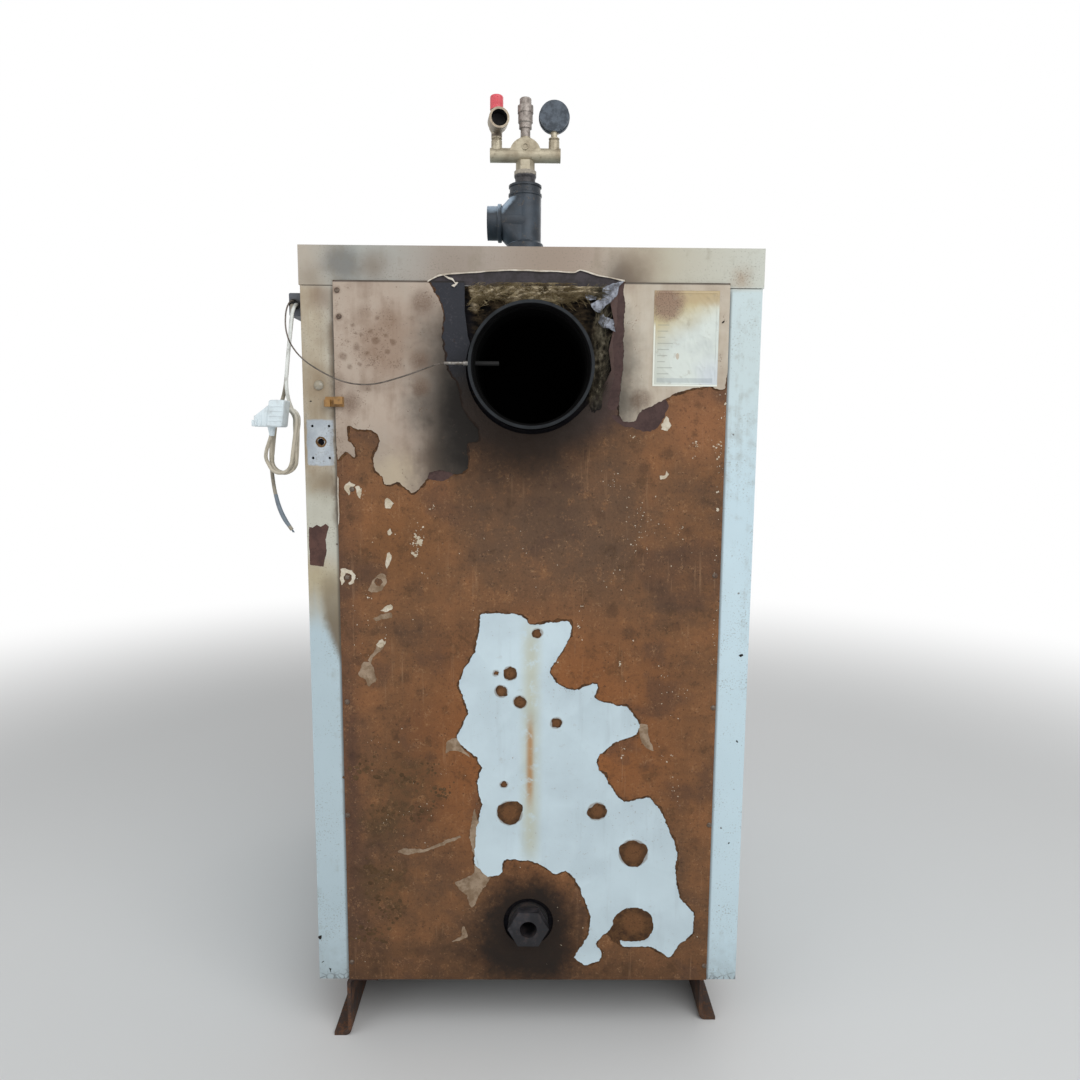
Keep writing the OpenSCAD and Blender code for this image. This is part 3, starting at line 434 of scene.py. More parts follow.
def paint_film(
    shape, outline, plane, thick, ragged, spots=(), lip=0.0, limit=None, soft=0.2, ring=1.2, grow=0.0
):
    """Adds a sheet of paint inside an outline in millimetres, with a ragged, raised edge and bare spots."""
    noise.seed_set(EDGE_SEED)
    part = bmesh.new()
    for line in [grown(flowing(outline, 1.6, True, soft), grow)] + [bare_spot(*spot) for spot in spots]:
        closed_line(part, line, plane)
    for vert in part.verts:
        stray = noise.noise_vector(vert.co * 95) + noise.noise_vector(vert.co * 260) * 0.8
        stray += noise.noise_vector(vert.co * 620) * 0.4
        vert.co.x += stray.x * ragged
        vert.co.z += stray.z * ragged
        if limit:
            vert.co.x = min(max(vert.co.x, limit[0] * MM), limit[1] * MM)
            vert.co.z = min(max(vert.co.z, limit[2] * MM), limit[3] * MM)
    bmesh.ops.triangle_fill(part, edges=part.edges[:], use_beauty=True, normal=BACKWARD)
    if lip:
        bmesh.ops.inset_region(
            part, faces=part.faces[:], thickness=ring * MM, use_boundary=True, use_even_offset=True
        )
    for vert in part.verts:
        vert.co.y = plane - thick
        if lip and vert.is_boundary:
            vert.co.y -= lip * max(0.0, 0.4 + noise.noise(vert.co * 60))
    back_up(part, part.faces[:], thick * 0.9)
    bmesh.ops.recalc_face_normals(part, faces=part.faces[:])
    put(shape, part, (0, 0, 0))


def films(*outlines, **film):
    """Shape of several sheets of paint of one kind."""
    shape = bmesh.new()
    for outline in outlines:
        paint_film(shape, outline, **film)
    return shape


def flake(shape, chance, x, z, size, plane, thick):
    """Adds one small flake of paint."""
    lie = Matrix.Translation((x * MM, plane - thick, z * MM)) @ Matrix.Rotation(math.pi / 2, 4, "X")
    lie = lie @ Matrix.Rotation(chance.uniform(0, 6.3), 4, "Z")
    lie = lie @ Matrix.Diagonal((1, chance.uniform(0.35, 0.9), 1, 1))
    sides = 6 if size < 2.5 else 9
    made = bmesh.ops.create_circle(shape, cap_ends=True, segments=sides, radius=size * MM, matrix=lie)
    for vert in made["verts"]:
        vert.co.x += chance.uniform(-0.3, 0.3) * size * MM
        vert.co.z += chance.uniform(-0.3, 0.3) * size * MM
    back_up(shape, made["verts"][0].link_faces[:1], thick * 0.9)


def rear_rust(name):
    """Rusted sheet of the rear panel: soot under the flue, blued steel round it, runs and scabs of rust, and
    a band of painted shade under its top edge.
    """
    look = bpy.context.scene.boiler_casing
    f = Finish(name)
    wide = f.grain(5.0, 3, 0.5)
    blot = f.grain(17.0, 4, 0.55)
    patch = f.grain(38.0, 6, 0.7)
    middle = f.grain(75.0, 6, 0.7)
    fine = f.grain(300.0, 5, 0.66)
    runs = f.grain(24.0, 4, 0.6, (1.0, 1.0, 0.08))
    brushed = f.grain(90.0, 3, 0.55, (0.1, 1.0, 1.0))
    f.tone = f.tones(
        wide * 0.2 + blot * 0.35 + patch * 0.2 + runs * 0.15 + brushed * 0.1,
        (0.39, look.rust_dark),
        (0.5, look.rust),
        (0.61, look.rust_light),
    )
    f.stain(0.8, "5d4838", 0.045, 0.75, 0.08, 0.27, blot * 0.12)
    f.stain(0.7, "8e6040", 0.225, 0.89, 0.03, 0.095, blot * 0.04)
    f.stain(0.5, "7e532f", -0.18, 0.73, 0.03, 0.15, blot * 0.08)
    f.stain(0.75, "8d5830", 0.02, 0.44, 0.12, 0.3, blot * 0.1)
    f.wear(f.x + blot * 0.07, -0.17, -0.22, 0.5, "573e31")
    f.wear(f.z + blot * 0.12, 0.27, 0.13, 0.7, "4f3826")
    dark = f.ease(f.cells(24.0) + middle * 0.2, 0.42, 0.2) * f.ease(blot, 0.46, 0.58)
    f.coat(dark * 0.5, "463224")
    for x, z, reach in ((-0.172, 0.388, 0.075), (-0.21, 0.235, 0.055), (-0.205, 0.33, 0.05)):
        rough = f.spot(x, z, 0.012, reach, (patch - 0.5) * 0.09) * (0.25 + f.ease(middle, 0.4, 0.6) * 0.45)
        f.coat(rough, "4a3a26")
    f.wear(patch, 0.45, 0.34, 0.4, "47321f")
    f.wear(patch * 0.6 + middle * 0.4, 0.54, 0.66, 0.4, "8f6440")
    large = f.grain(12.0, 3, 0.5, (1.0, 1.0, 0.7), 4.3)
    f.wear(large * 0.75 + patch * 0.25, 0.53, 0.61, 0.5, "4b382e")
    seam = f.near_line(-0.246, 0.014, 0.1, 0.57, 0.12) * f.ease(blot, 0.3, 0.6)
    f.coat(seam * 0.6, "3b2b28")
    f.wear(middle, 0.45, 0.3, 0.35, "3f2c20")
    f.wear(fine * 0.6 + middle * 0.4, 0.55, 0.66, 0.4, "94704f")
    f.wear(fine, 0.45, 0.3, 0.45, "35271d")
    grit = f.grain(900.0, 3, 0.6)
    f.wear(grit, 0.44, 0.3, 0.4, "2c1f17")
    f.wear(grit * 0.6 + middle * 0.4, 0.6, 0.68, 0.5, "b39a7e")
    scored = f.grain(160.0, 3, 0.6, (1.0, 1.0, 0.05))
    f.coat(f.ease(scored, 0.6, 0.72) * f.ease(blot, 0.4, 0.6) * 0.3, "9d7b5c")
    hot = f.spot(0.0, 0.985, 0.138, 0.178, middle * 0.03) * f.ease(f.z + middle * 0.06, 0.865, 0.925)
    steel = f.mix(f.ease(f.x, 0.0, 0.05), look.blued, "4f3c37")
    steel = f.mix(f.ease(middle * 0.5 + fine * 0.5, 0.52, 0.66) * 0.45, steel, "454247")
    hot = hot.over(f.spot(-0.118, 1.055, 0.02, 0.05, middle * 0.02 - 0.01))
    f.coat(hot, steel)
    smoke = f.spot(-0.012, 0.925, 0.085, 0.15, wide * 0.05 + middle * 0.04 - 0.035) * f.ease(f.z, 0.985, 0.93)
    f.coat(smoke * 0.96, look.soot)
    haze = f.spot(-0.02, 0.91, 0.06, 0.2, blot * 0.07 - 0.02) * f.ease(f.z, 0.96, 0.9)
    f.coat(haze * 0.6, "2c1e14")
    drip = middle * 0.04 + blot * 0.03 - f.ease(f.z, RETURN_Z, RETURN_Z - 0.06) * 0.03 - 0.02
    f.stain(0.94, "191411", 0.0, RETURN_Z, 0.055, 0.112, drip)
    # Painted shade: a dark band under the panel's top edge, where the skirt leaves a gap.
    lip = f.ease(f.z, GAP_SHADE_FROM, GAP_SHADE_TO)
    f.coat(lip * 0.85, "1a1512")
    pits = f.ease(f.cells(150.0), 0.22, 0.05) * f.ease(middle, 0.48, 0.6)
    f.coat(pits * 0.75, "2d2017")
    height = patch * 0.4 + middle * 0.45 + fine * 0.35 - pits * 0.5 + brushed * 0.15
    return f.done(
        roughness=0.78 + (fine - 0.5) * 0.25 - hot * 0.2,
        specular_ior_level=0.25,
        normal=f.relief(height, 0.85, 0.0013),
    )


def casing_paint(name):
    """Pale powder coat of the casing: scorched on the upper left of the rear, dirty and chipped below, with
    painted shade in the gaps beside the rear panel.
    """
    look = bpy.context.scene.boiler_casing
    f = Finish(name)
    wide = f.grain(6.0, 4, 0.55)
    blot = f.grain(22.0, 4, 0.6)
    middle = f.grain(60.0, 5, 0.62)
    fine = f.grain(420.0, 3, 0.6)
    runs = f.grain(34.0, 4, 0.6, (1.0, 1.0, 0.06))
    f.tone = f.mix(f.ease(wide, 0.35, 0.68), look.pale, "b2c5cd")
    rear = f.ease(f.y, -0.36, -0.425)
    f.coat(f.ease(f.x, -0.2, -0.28) * rear * 0.6, "a8bac2")
    f.coat(f.ease(f.x, 0.2, 0.28) * rear * 0.6, "c4dbe5")
    f.coat(f.ease(f.x, 0.2, 0.28) * f.ease(f.z, 0.78, 0.98) * rear * 0.6, "b9c4c1")
    scorch = f.ease(f.x, -0.2, -0.285) * f.ease(f.z + wide * 0.08 + runs * 0.08, 0.68, 0.75) * rear
    burnt = f.tones(
        wide * 0.25 + blot * 0.3 + runs * 0.45, (0.38, "948167"), (0.5, "b0a48f"), (0.62, "c0b8a8")
    )
    f.coat(scorch * 0.96, burnt)
    faded = f.ease(f.z, 0.69, 0.72) * f.ease(f.z, 0.83, 0.79) * scorch
    f.coat(faded * 0.75, "b9bbb0")
    f.coat(f.ease(f.z, 0.71, 0.68) * scorch * 0.6, "ada385")
    for x, z, inner, outer, share, code in (
        (-0.277, 0.93, 0.01, 0.055, 0.6, "857055"),
        (-0.279, 0.934, 0.0066, 0.0105, 0.75, "54432f"),
        (-0.27, 0.806, 0.01, 0.045, 0.75, "75634a"),
        (-0.29, 0.8, 0.004, 0.03, 0.45, "8a7350"),
        (-0.262, 1.0, 0.005, 0.045, 0.4, "6f5f4c"),
        (-0.268, 1.045, 0.008, 0.045, 0.6, "76655a"),
    ):
        f.coat(f.spot(x, z, inner, outer, blot * 0.02, STRIP_Y) * share * rear, code)
    drop = (0.67 - f.z) / 0.12
    wedge = f.ease(f.x - drop ** 2 * 0.032 + (middle - 0.5) * 0.008, -0.291, -0.276)
    wedge = wedge * f.ease(f.z + (blot - 0.5) * 0.03, 0.7, 0.655) * f.ease(f.z, 0.53, 0.55)
    wedge = wedge * f.ease(f.x, 0.0, -0.1) * rear
    f.coat(wedge * (0.6 + f.ease(f.z, 0.66, 0.61) * 0.3), "6a5a42")
    crown = f.ease(f.z, 1.055, 1.066) * rear
    shades = f.tones(
        f.x / 0.6 + 0.5 + (blot - 0.5) * 0.12,
        (0.0, "a8a094"),
        (0.12, "9c9d97"),
        (0.3, "978c81"),
        (0.62, "9b8a7b"),
        (0.78, "aca592"),
        (1.0, "b8bab0"),
    )
    f.coat(crown * 0.95, shades)
    for x, z, inner, outer, share, code in (
        (-0.246, 1.09, 0.012, 0.04, 0.7, "5d5d5c"),
        (-0.205, 1.085, 0.004, 0.035, 0.6, "6b5a49"),
        (-0.285, 1.07, 0.002, 0.03, 0.45, "7a6c59"),
        (-0.1, 1.085, 0.01, 0.06, 0.35, "7b6c5e"),
        (0.02, 1.1, 0.01, 0.09, 0.35, "7d6a57"),
        (0.119, 1.074, 0.004, 0.045, 0.85, "3d322c"),
        (0.14, 1.09, 0.01, 0.05, 0.4, "85735c"),
        (0.272, 1.075, 0.004, 0.028, 0.6, "8a6640"),
    ):
        f.coat(f.spot(x, z, inner, outer, blot * 0.03 - 0.012, STRIP_Y) * share * crown, code)
    across = abs(f.x + 0.2787)
    upright = abs(f.z - 0.859)
    edge = f.ease(across + (middle - 0.5) * 0.006, 0.0185, 0.0165)
    ghost = edge * f.ease(upright + (middle - 0.5) * 0.006, 0.031, 0.0285) * rear
    f.coat(ghost * 0.9, f.mix(f.ease(middle, 0.4, 0.62), "a9b3bd", "b9c3cb"))
    band = f.near_line(-0.2605, 0.009, 0.72, 1.06, 0.06) * f.ease(runs * 0.6 + middle * 0.4, 0.42, 0.56)
    f.coat(band * rear * 0.75, "5f4c37")
    # Painted shade: dark lines along both side edges of the rear panel, in the gap where it meets the strips.
    seam = f.near_line(-0.2585, 0.004, 0.08, 1.07, 0.02).over(f.near_line(0.2585, 0.0035, 0.08, 1.07, 0.02))
    f.coat(seam * rear * (0.35 + runs * 0.5), "3d342b")
    mud = f.ease(f.z + middle * 0.16, 0.26, 0.1)
    f.coat(mud * 0.55, "7d7f7d")
    dirt = f.ease(runs * 0.6 + middle * 0.4, 0.52, 0.66)
    f.coat(dirt * 0.32, "7c7361")
    chips = f.ease(f.cells(48.0), 0.09, 0.05) * f.ease(middle, 0.56, 0.62)
    f.coat(chips * 0.85, "4a3a33")
    specks = f.ease(fine * 0.7 + blot * 0.3, 0.56, 0.64)
    f.coat(specks * 0.45, "6f675b")
    cracks = f.ease(f.cells(110.0, "DISTANCE_TO_EDGE"), 0.12, 0.03)
    corner = f.ease(f.z + middle * 0.03, 0.125, 0.1) * cracks * rear
    f.coat(corner * 0.7, "3a332c")
    height = fine * 0.25 + middle * 0.3 - chips * 1.2 - corner
    return f.done(
        roughness=0.45 + dirt * 0.2 + scorch * 0.15 + mud * 0.25,
        specular_ior_level=0.35,
        normal=f.relief(height, 0.35, 0.0006),
    )


def left_paint(name):
    """Pale paint left in the middle of the rear panel, with a rust run and dirty rings at bare spots."""
    f = Finish(name)
    wide = f.grain(11.0, 4, 0.55)
    middle = f.grain(60.0, 6, 0.66)
    fine = f.grain(380.0, 4, 0.62)
    brushed = f.grain(70.0, 4, 0.6, (1.0, 1.0, 0.1))
    f.tone = f.mix(f.ease(wide, 0.36, 0.66), "c3d5dd", "b9cad2")
    f.wear(brushed, 0.54, 0.7, 0.15, "98a4aa")
    run = f.near_line(0.002, 0.02, 0.25, 0.64, 0.06) * f.ease(middle, 0.28, 0.5)
    core = f.near_line(0.001, 0.008, 0.34, 0.5, 0.05)
    f.coat(run * 0.75, "b4b6a0")
    f.coat(core * f.ease(middle, 0.3, 0.5) * 0.85, "a8783f")
    for x, z, r in BARE_SPOTS:
        ring = f.spot(x * MM, z * MM, r * MM, (r + 2.5) * MM, middle * 0.008 - 0.004)
        f.coat(ring * 0.6, "70593f")
    bloom = f.ease(middle, 0.6, 0.72)
    f.coat(bloom * 0.25, "8f8a80")
    chips = f.ease(fine * 0.75 + wide * 0.25, 0.63, 0.68)
    f.coat(chips * 0.7, "6b4c36")
    height = middle * 0.5 + fine * 0.2 - chips * 0.6
    return f.done(roughness=0.45 + bloom * 0.3, normal=f.relief(height, 0.45, 0.0006))


def edge_rust(name):
    """Rust that creeps out under the paint: dark at its rim, browner in bare spots, sooty round the flue."""
    f = Finish(name)
    middle = f.grain(90.0, 6, 0.68)
    fine = f.grain(420.0, 4, 0.64)
    f.tone = f.mix(f.ease(middle, 0.36, 0.62), "3f2c1e", "5d4129")
    for x, z, r in BARE_SPOTS + [HOOK_SPOT]:
        inner = f.spot(x * MM, z * MM, r * 0.45 * MM, r * 0.85 * MM, (middle - 0.5) * 0.006)
        f.coat(inner * 0.8, "6d4b30")
    f.wear(fine, 0.46, 0.32, 0.6, "2b1e15")
    f.wear(fine * 0.6 + middle * 0.4, 0.57, 0.67, 0.4, "8d6846")
    f.stain(0.9, "241d1a", 0.0, 0.95, 0.13, 0.17, middle * 0.02)
    return f.done(
        roughness=0.85, specular_ior_level=0.2, normal=f.relief(middle * 0.5 + fine * 0.5, 0.7, 0.0009)
    )


def beige_paint(name):
    """Scorched paint of the upper rear panel: sooted towards the flue, with rust pits breaking through and a
    band of painted shade under its top edge.
    """
    look = bpy.context.scene.boiler_casing
    f = Finish(name)
    wide = f.grain(9.0, 4, 0.55)
    blot = f.grain(28.0, 4, 0.6)
    middle = f.grain(80.0, 5, 0.62)
    fine = f.grain(460.0, 4, 0.6)
    runs = f.grain(40.0, 4, 0.6, (1.0, 1.0, 0.1))
    share = wide * 0.35 + blot * 0.3 + runs * 0.35
    f.tone = f.tones(share, (0.38, "877566"), (0.5, look.beige), (0.62, "aca093"))
    right = f.tones(share, (0.38, "9b8c7c"), (0.5, "b3a898"), (0.62, "bfb8aa"))
    f.coat(f.ease(f.x, 0.03, 0.1), right)
    f.coat(f.ease(f.z + blot * 0.04, 0.93, 0.85) * f.ease(f.x, 0.0, -0.05) * 0.35, "766555")
    cream = f.spot(-0.18, 0.817, 0.008, 0.045, (middle - 0.5) * 0.03)
    f.coat(cream * 0.6, "b5a78f")
    rusty = f.spot(-0.185, 0.985, 0.015, 0.075, blot * 0.05 - 0.02)
    f.coat(rusty * 0.5, "765942")
    edge = f.ease(f.x + (middle - 0.5) * 0.03, -0.18, -0.108) * f.ease(f.x, 0.05, -0.02)
    edge = edge * f.ease(f.z + wide * 0.06, 1.1, 1.02)
    low = f.spot(-0.012, 0.905, 0.085, 0.15, wide * 0.06 + middle * 0.03 - 0.045)
    side = f.spot(0.0, 0.958, 0.115, 0.16, middle * 0.03 - 0.015) * f.ease(f.x, 0.05, 0.1)
    puff = f.spot(-0.12, 0.905, 0.02, 0.07, (middle - 0.5) * 0.02)
    side = side.over(f.spot(0.112, 0.915, 0.015, 0.05, (middle - 0.5) * 0.03))
    smoke = (edge * 0.9).over(side * 0.7).over(puff * 0.75)
    f.coat(smoke * 0.93, "2a2825")
    f.coat(low * 0.96, look.soot)
    pits = f.ease(fine * 0.5 + middle * 0.5, 0.58, 0.64) * f.ease(blot, 0.46, 0.56)
    many = f.ease(fine * 0.6 + middle * 0.4, 0.54, 0.62)
    many = many * f.spot(-0.205, 0.99, 0.02, 0.07, blot * 0.06 - 0.03)
    left = f.ease(fine * 0.7 + middle * 0.3, 0.54, 0.62) * f.ease(f.x + blot * 0.1, -0.17, -0.22)
    pits = pits.over(many).over(left * 0.8)
    f.coat(pits * 0.6, "5b4433")
    for x, z, size in BLISTERS:
        ring = f.spot(x * MM, z * MM, size * 0.25 * MM, size * MM, middle * 0.014 - 0.006)
        f.coat(ring * (0.1 + fine * 0.8), "563c29")
    # Painted shade: a dark band under the panel's top edge, where the skirt leaves a gap.
    f.coat(f.ease(f.z, GAP_SHADE_FROM, GAP_SHADE_TO) * 0.8, "2a2320")
    height = middle * 0.4 + fine * 0.25 - pits * 0.6 + runs * 0.3
    return f.done(
        roughness=0.62 + smoke.over(low) * 0.2,
        specular_ior_level=0.3,
        normal=f.relief(height, 0.5, 0.0007),
    )


def flat_paint(code, second, rough=0.7, spots="2b2320"):
    """Maker of a mottled coat in two tones, for primer, burnt paint and scabs."""

    def make(name):
        f = Finish(name)
        middle = f.grain(80.0, 5, 0.65)
        fine = f.grain(480.0, 3, 0.6)
        f.tone = f.mix(f.ease(middle, 0.36, 0.64), code, second)
        f.coat(f.ease(fine, 0.58, 0.72) * 0.5, spots)
        return f.done(
            roughness=rough + (fine - 0.5) * 0.2,
            specular_ior_level=0.3,
            normal=f.relief(middle * 0.6 + fine * 0.4, 0.6, 0.0008),
        )

    return make


def plastic(code, dirt="5d564b", rough=0.42, grime=0.35, scale=90.0):
    """Maker of a moulded plastic or sheath with grime in it."""

    def make(name):
        f = Finish(name)
        middle = f.grain(scale, 5, 0.6)
        fine = f.grain(scale * 9, 3, 0.6)
        worn = f.ease(middle, 0.46, 0.7)
        f.tone = f.mix(worn * grime, code, dirt)
        f.coat(f.ease(fine, 0.62, 0.75) * grime, dirt)
        return f.done(
            roughness=rough + worn * 0.2,
            normal=f.relief(fine * 0.5 + middle * 0.5, 0.25, 0.0003),
        )

    return make


def metal(code, dull, shine=0.8, rough=0.42, scale=60.0, rust=0.0, depth=0.0006):
    """Maker of a bare or tarnished metal, dull in patches and rusty where rust says so."""

    def make(name):
        f = Finish(name)
        wide = f.grain(scale * 0.35, 4, 0.55)
        middle = f.grain(scale, 5, 0.62)
        fine = f.grain(scale * 8, 4, 0.6)
        patch = f.ease(middle * 0.6 + wide * 0.4, 0.42, 0.62)
        f.tone = f.mix(patch, code, dull)
        f.wear(fine, 0.58, 0.74, 0.45, "2c2723")
        spots = f.ease(middle * 0.5 + fine * 0.5, 0.52, 0.6) * rust
        f.coat(spots, "6a4630")
        return f.done(
            roughness=rough + patch * 0.2 + spots * 0.3 + (fine - 0.5) * 0.15,
            metallic=(1 - patch * 0.45) * shine * (1 - spots),
            normal=f.relief(fine * 0.5 + middle * 0.5, 0.4, depth),
        )

    return make


def flue_steel(name):
    """Sooted flue tube, with a greyer worn ring at its mouth."""
    f = Finish(name)
    middle = f.grain(45.0, 5, 0.62)
    fine = f.grain(420.0, 4, 0.6)
    f.tone = f.mix(f.ease(middle, 0.38, 0.64), "100f0f", "232325")
    out = (f.x ** 2 + (f.z - FLUE_Z) ** 2) ** 0.5
    rim = f.ease(f.y, -0.4795, -0.482) * f.ease(out, 0.0742, 0.0765) * (0.6 + f.ease(middle, 0.35, 0.6) * 0.4)
    f.coat(rim, "2b2e31")
    inside = f.ease(out, 0.0758, 0.0752)
    f.coat(inside, "020202")
    ash = f.ease(fine, 0.6, 0.76) * (1 - inside) * 0.3
    f.coat(ash, "3a322b")
    return f.done(
        roughness=0.75 - rim * 0.2,
        metallic=rim * 0.3,
        specular_ior_level=0.1,
        normal=f.relief(middle * 0.5 + fine * 0.5, 0.6, 0.0009),
    )


def soot_black(name):
    """Dead black soot inside the smoke passage."""
    f = Finish(name)
    middle = f.grain(60.0, 5, 0.62)
    f.tone = f.mix(middle, "030303", "080707")
    return f.done(
        roughness=0.95, specular_ior_level=0.03, normal=f.relief(middle, 0.5, 0.001)
    )


def probe_metal(name):
    """Dull steel of the flue probe, sooted inside the flue."""
    f = Finish(name)
    middle = f.grain(160.0, 5, 0.62)
    f.tone = f.mix(f.ease(middle, 0.4, 0.62), "9a9894", "6f6963")
    inside = f.spot(0.0, 0.958, 0.078, 0.081, plane=-0.4445)
    f.coat(inside, "131313")
    return f.done(
        roughness=0.42 + inside * 0.35,
        metallic=0.7 - inside * 0.6,
        normal=f.relief(middle, 0.3, 0.0003),
    )


def valve_brass(name):
    """Dull brass of the safety group, with painted shade, near black, inside the valve's outlet."""
    look = bpy.context.scene.boiler_fittings
    f = Finish(name)
    wide = f.grain(40.0, 4, 0.55)
    middle = f.grain(140.0, 5, 0.62)
    fine = f.grain(900.0, 4, 0.6)
    f.tone = f.mix(f.ease(wide, 0.36, 0.66), look.brass, "8b806c")
    f.wear(middle, 0.56, 0.7, 0.55, "6b6050")
    f.wear(fine, 0.6, 0.74, 0.4, "4a4136")
    valve = f.ease(f.x, VALVE.x + 0.021, VALVE.x + 0.018) * f.ease(f.z, VALVE_FOOT, VALVE_FOOT + 0.002)
    f.coat(valve * 0.45, "7b6d60")
    stem = valve * f.ease(f.z, OUTLET_Z - 0.0135, OUTLET_Z - 0.0155)
    f.coat(stem * (0.45 + middle * 0.5), "4c4038")
    east, north = f.x - VALVE.x, f.y - VALVE.y
    aside = east * math.cos(VALVE_TURN) + north * math.sin(VALVE_TURN)
    along = east * math.sin(VALVE_TURN) - north * math.cos(VALVE_TURN)
    out = (aside ** 2 + (f.z - OUTLET_Z) ** 2) ** 0.5
    # Painted shade: near black inside the valve's outlet.
    outlet_shade = f.ease(out, 0.0128, 0.0122) * f.ease(along, 0.0317, 0.0305) * f.ease(along, 0.008, 0.01)
    f.coat(outlet_shade, "050404")
    return f.done(
        roughness=0.45 + (middle - 0.5) * 0.4 + outlet_shade * 0.3,
        metallic=0.4 - outlet_shade * 0.4,
        normal=f.relief(fine * 0.5 + middle * 0.5, 0.45, 0.0006),
    )


def gauge_metal(name):
    """Dark case of the pressure gauge, brass below it on the stem."""
    look = bpy.context.scene.boiler_fittings
    f = Finish(name)
    middle = f.grain(90.0, 5, 0.62)
    fine = f.grain(880.0, 4, 0.6)
    patch = f.ease(middle, 0.42, 0.62)
    f.tone = f.mix(patch, "434c56", "333a42")
    stem = f.ease(f.z, GAUGE_Z + 0.0004, GAUGE_Z - 0.0004)
    f.coat(stem, f.mix(patch, look.brass, "8b806c"))
    f.wear(fine, 0.58, 0.74, 0.45, "2c2723")
    return f.done(
        roughness=0.45 + patch * 0.2 + (fine - 0.5) * 0.15,
        metallic=0.25 + stem * 0.15,
        normal=f.relief(fine * 0.5 + middle * 0.5, 0.4, 0.0006),
    )


def lead_sheath(name):
    """White sheath of the mains lead, beige-grey lower down in the hank and grubby in patches."""
    look = bpy.context.scene.boiler_cords
    f = Finish(name)
    middle = f.grain(70.0, 5, 0.6)
    fine = f.grain(600.0, 3, 0.6)
    f.tone = f.mix(f.ease(f.z + middle * 0.04, 0.95, 0.9), look.white, "b4ac9b")
    grubby = f.ease(middle, 0.48, 0.68)
    f.coat(grubby * 0.45, "6b6557")
    return f.done(
        roughness=0.42 + grubby * 0.25, normal=f.relief(fine * 0.5 + middle * 0.5, 0.25, 0.0003)
    )


def wool(name):
    """Mineral wool mat: straw-coloured, with painted light where it stands out towards the rear and painted
    shade, near black, in its hollows; greyer on its right.
    """
    f = Finish(name)
    wide = f.grain(40.0, 4, 0.6)
    strands = f.grain(220.0, 5, 0.7, (0.3, 1.0, 1.0))
    fine = f.grain(900.0, 4, 0.65, (0.25, 1.0, 1.0), 0.2)
    # Painted light and shade by height: the more the wool stands out towards the rear, the lighter its tone;
    # recesses go near black.
    raised = f.ease(f.y + (strands - 0.5) * 0.004, -0.43, -0.4352)
    f.tone = f.tones(
        raised * 0.7 + (strands - 0.5) * 0.9 + (wide - 0.5) * 0.7 + 0.06,
        (0.0, "0b0908"),
        (0.25, "43382a"),
        (0.5, "7f7058"),
        (0.8, "b8aa8f"),
    )
    side = f.ease(f.x + wide * 0.04, 0.085, 0.105) * f.ease(f.z, 1.055, 1.03)
    # On its right the wool is dark, with painted light on the strands that stand out.
    f.coat(side * 0.75, f.mix(raised * strands * 1.4, "100f0e", "54544b"))
    f.wear(fine, 0.46, 0.34, 0.5, "15110c")
    sooty = f.ease(f.x, -0.07, -0.082) * f.ease(f.z + (wide - 0.5) * 0.02, 1.044, 1.034)
    f.coat(sooty.over(f.ease(f.z, 0.94, 0.9)) * 0.88, "111116")
    return f.done(
        roughness=0.95,
        specular_ior_level=0.08,
        normal=f.relief(strands * 0.6 + fine * 0.4, 0.9, 0.003),
    )


def wool_strand(name):
    """Loose fibres of the wool, straw-coloured above the tube and greyer on its right."""
    f = Finish(name)
    wide = f.grain(60.0, 4, 0.6)
    fine = f.grain(900.0, 3, 0.6)
    f.tone = f.tones(
        wide * 0.6 + fine * 0.4, (0.36, "372d20"), (0.5, "6f6146"), (0.64, "b5a684")
    )
    f.wear(f.x + wide * 0.02, 0.07, 0.1, 0.75, "3d3d36")
    f.wear(f.z + wide * 0.03, 1.03, 0.95, 0.75, "211d17")
    return f.done(
        roughness=0.9, specular_ior_level=0.15, normal=f.relief(fine, 0.3, 0.0003)
    )


def old_iron(name):
    """Painted malleable iron: blue-grey, with a painted pale-blue highlight of the sky on the up-left-facing
    rounds of the tee's left side, rust and grime in the corners.
    """
    look = bpy.context.scene.boiler_fittings
    f = Finish(name)
    wide = f.grain(30.0, 4, 0.55)
    middle = f.grain(120.0, 5, 0.62)
    fine = f.grain(700.0, 3, 0.6)
    f.tone = f.mix(f.ease(wide, 0.4, 0.66), look.iron, "303a44")
    # Painted highlight: pale blue on surfaces that face up and to the left, on the left of the tee, for the
    # sky's reflection.
    facing = f.node("NewGeometry", None, None, "Normal")
    lit = f.node("VectorMath", {"operation": "DOT_PRODUCT"}, {0: facing, 1: (-0.45, -0.45, 0.77)}, "Value")
    f.coat(f.ease(lit + (middle - 0.5) * 0.3, 0.66, 0.96) * f.ease(f.x, -0.022, -0.036) * 0.85, "9fb3c6")
    f.wear(middle, 0.56, 0.7, 0.55, "262322")
    f.wear(middle * 0.5 + fine * 0.5, 0.57, 0.64, 0.4, "6d5f50")
    return f.done(
        roughness=0.45 + (middle - 0.5) * 0.4,
        metallic=0.3,
        normal=f.relief(fine * 0.4 + middle * 0.6, 0.5, 0.0008),
    )


def bush_steel(name):
    """Dark reducing bush, whitened by lime on the upper part of its collar."""
    f = Finish(name)
    middle = f.grain(130.0, 5, 0.64)
    fine = f.grain(800.0, 3, 0.6)
    f.tone = f.mix(f.ease(middle, 0.4, 0.62), "3f3d3f", "2a2829")
    lime = f.ease(f.z + (middle - 0.5) * 0.006, 1.2665, 1.269) * (0.6 + f.ease(middle, 0.36, 0.6) * 0.4)
    f.coat(lime, "a79e8f")
    return f.done(
        roughness=0.5 + lime * 0.3,
        metallic=0.35 - lime * 0.3,
        normal=f.relief(middle * 0.6 + fine * 0.4, 0.5, 0.0006),
    )


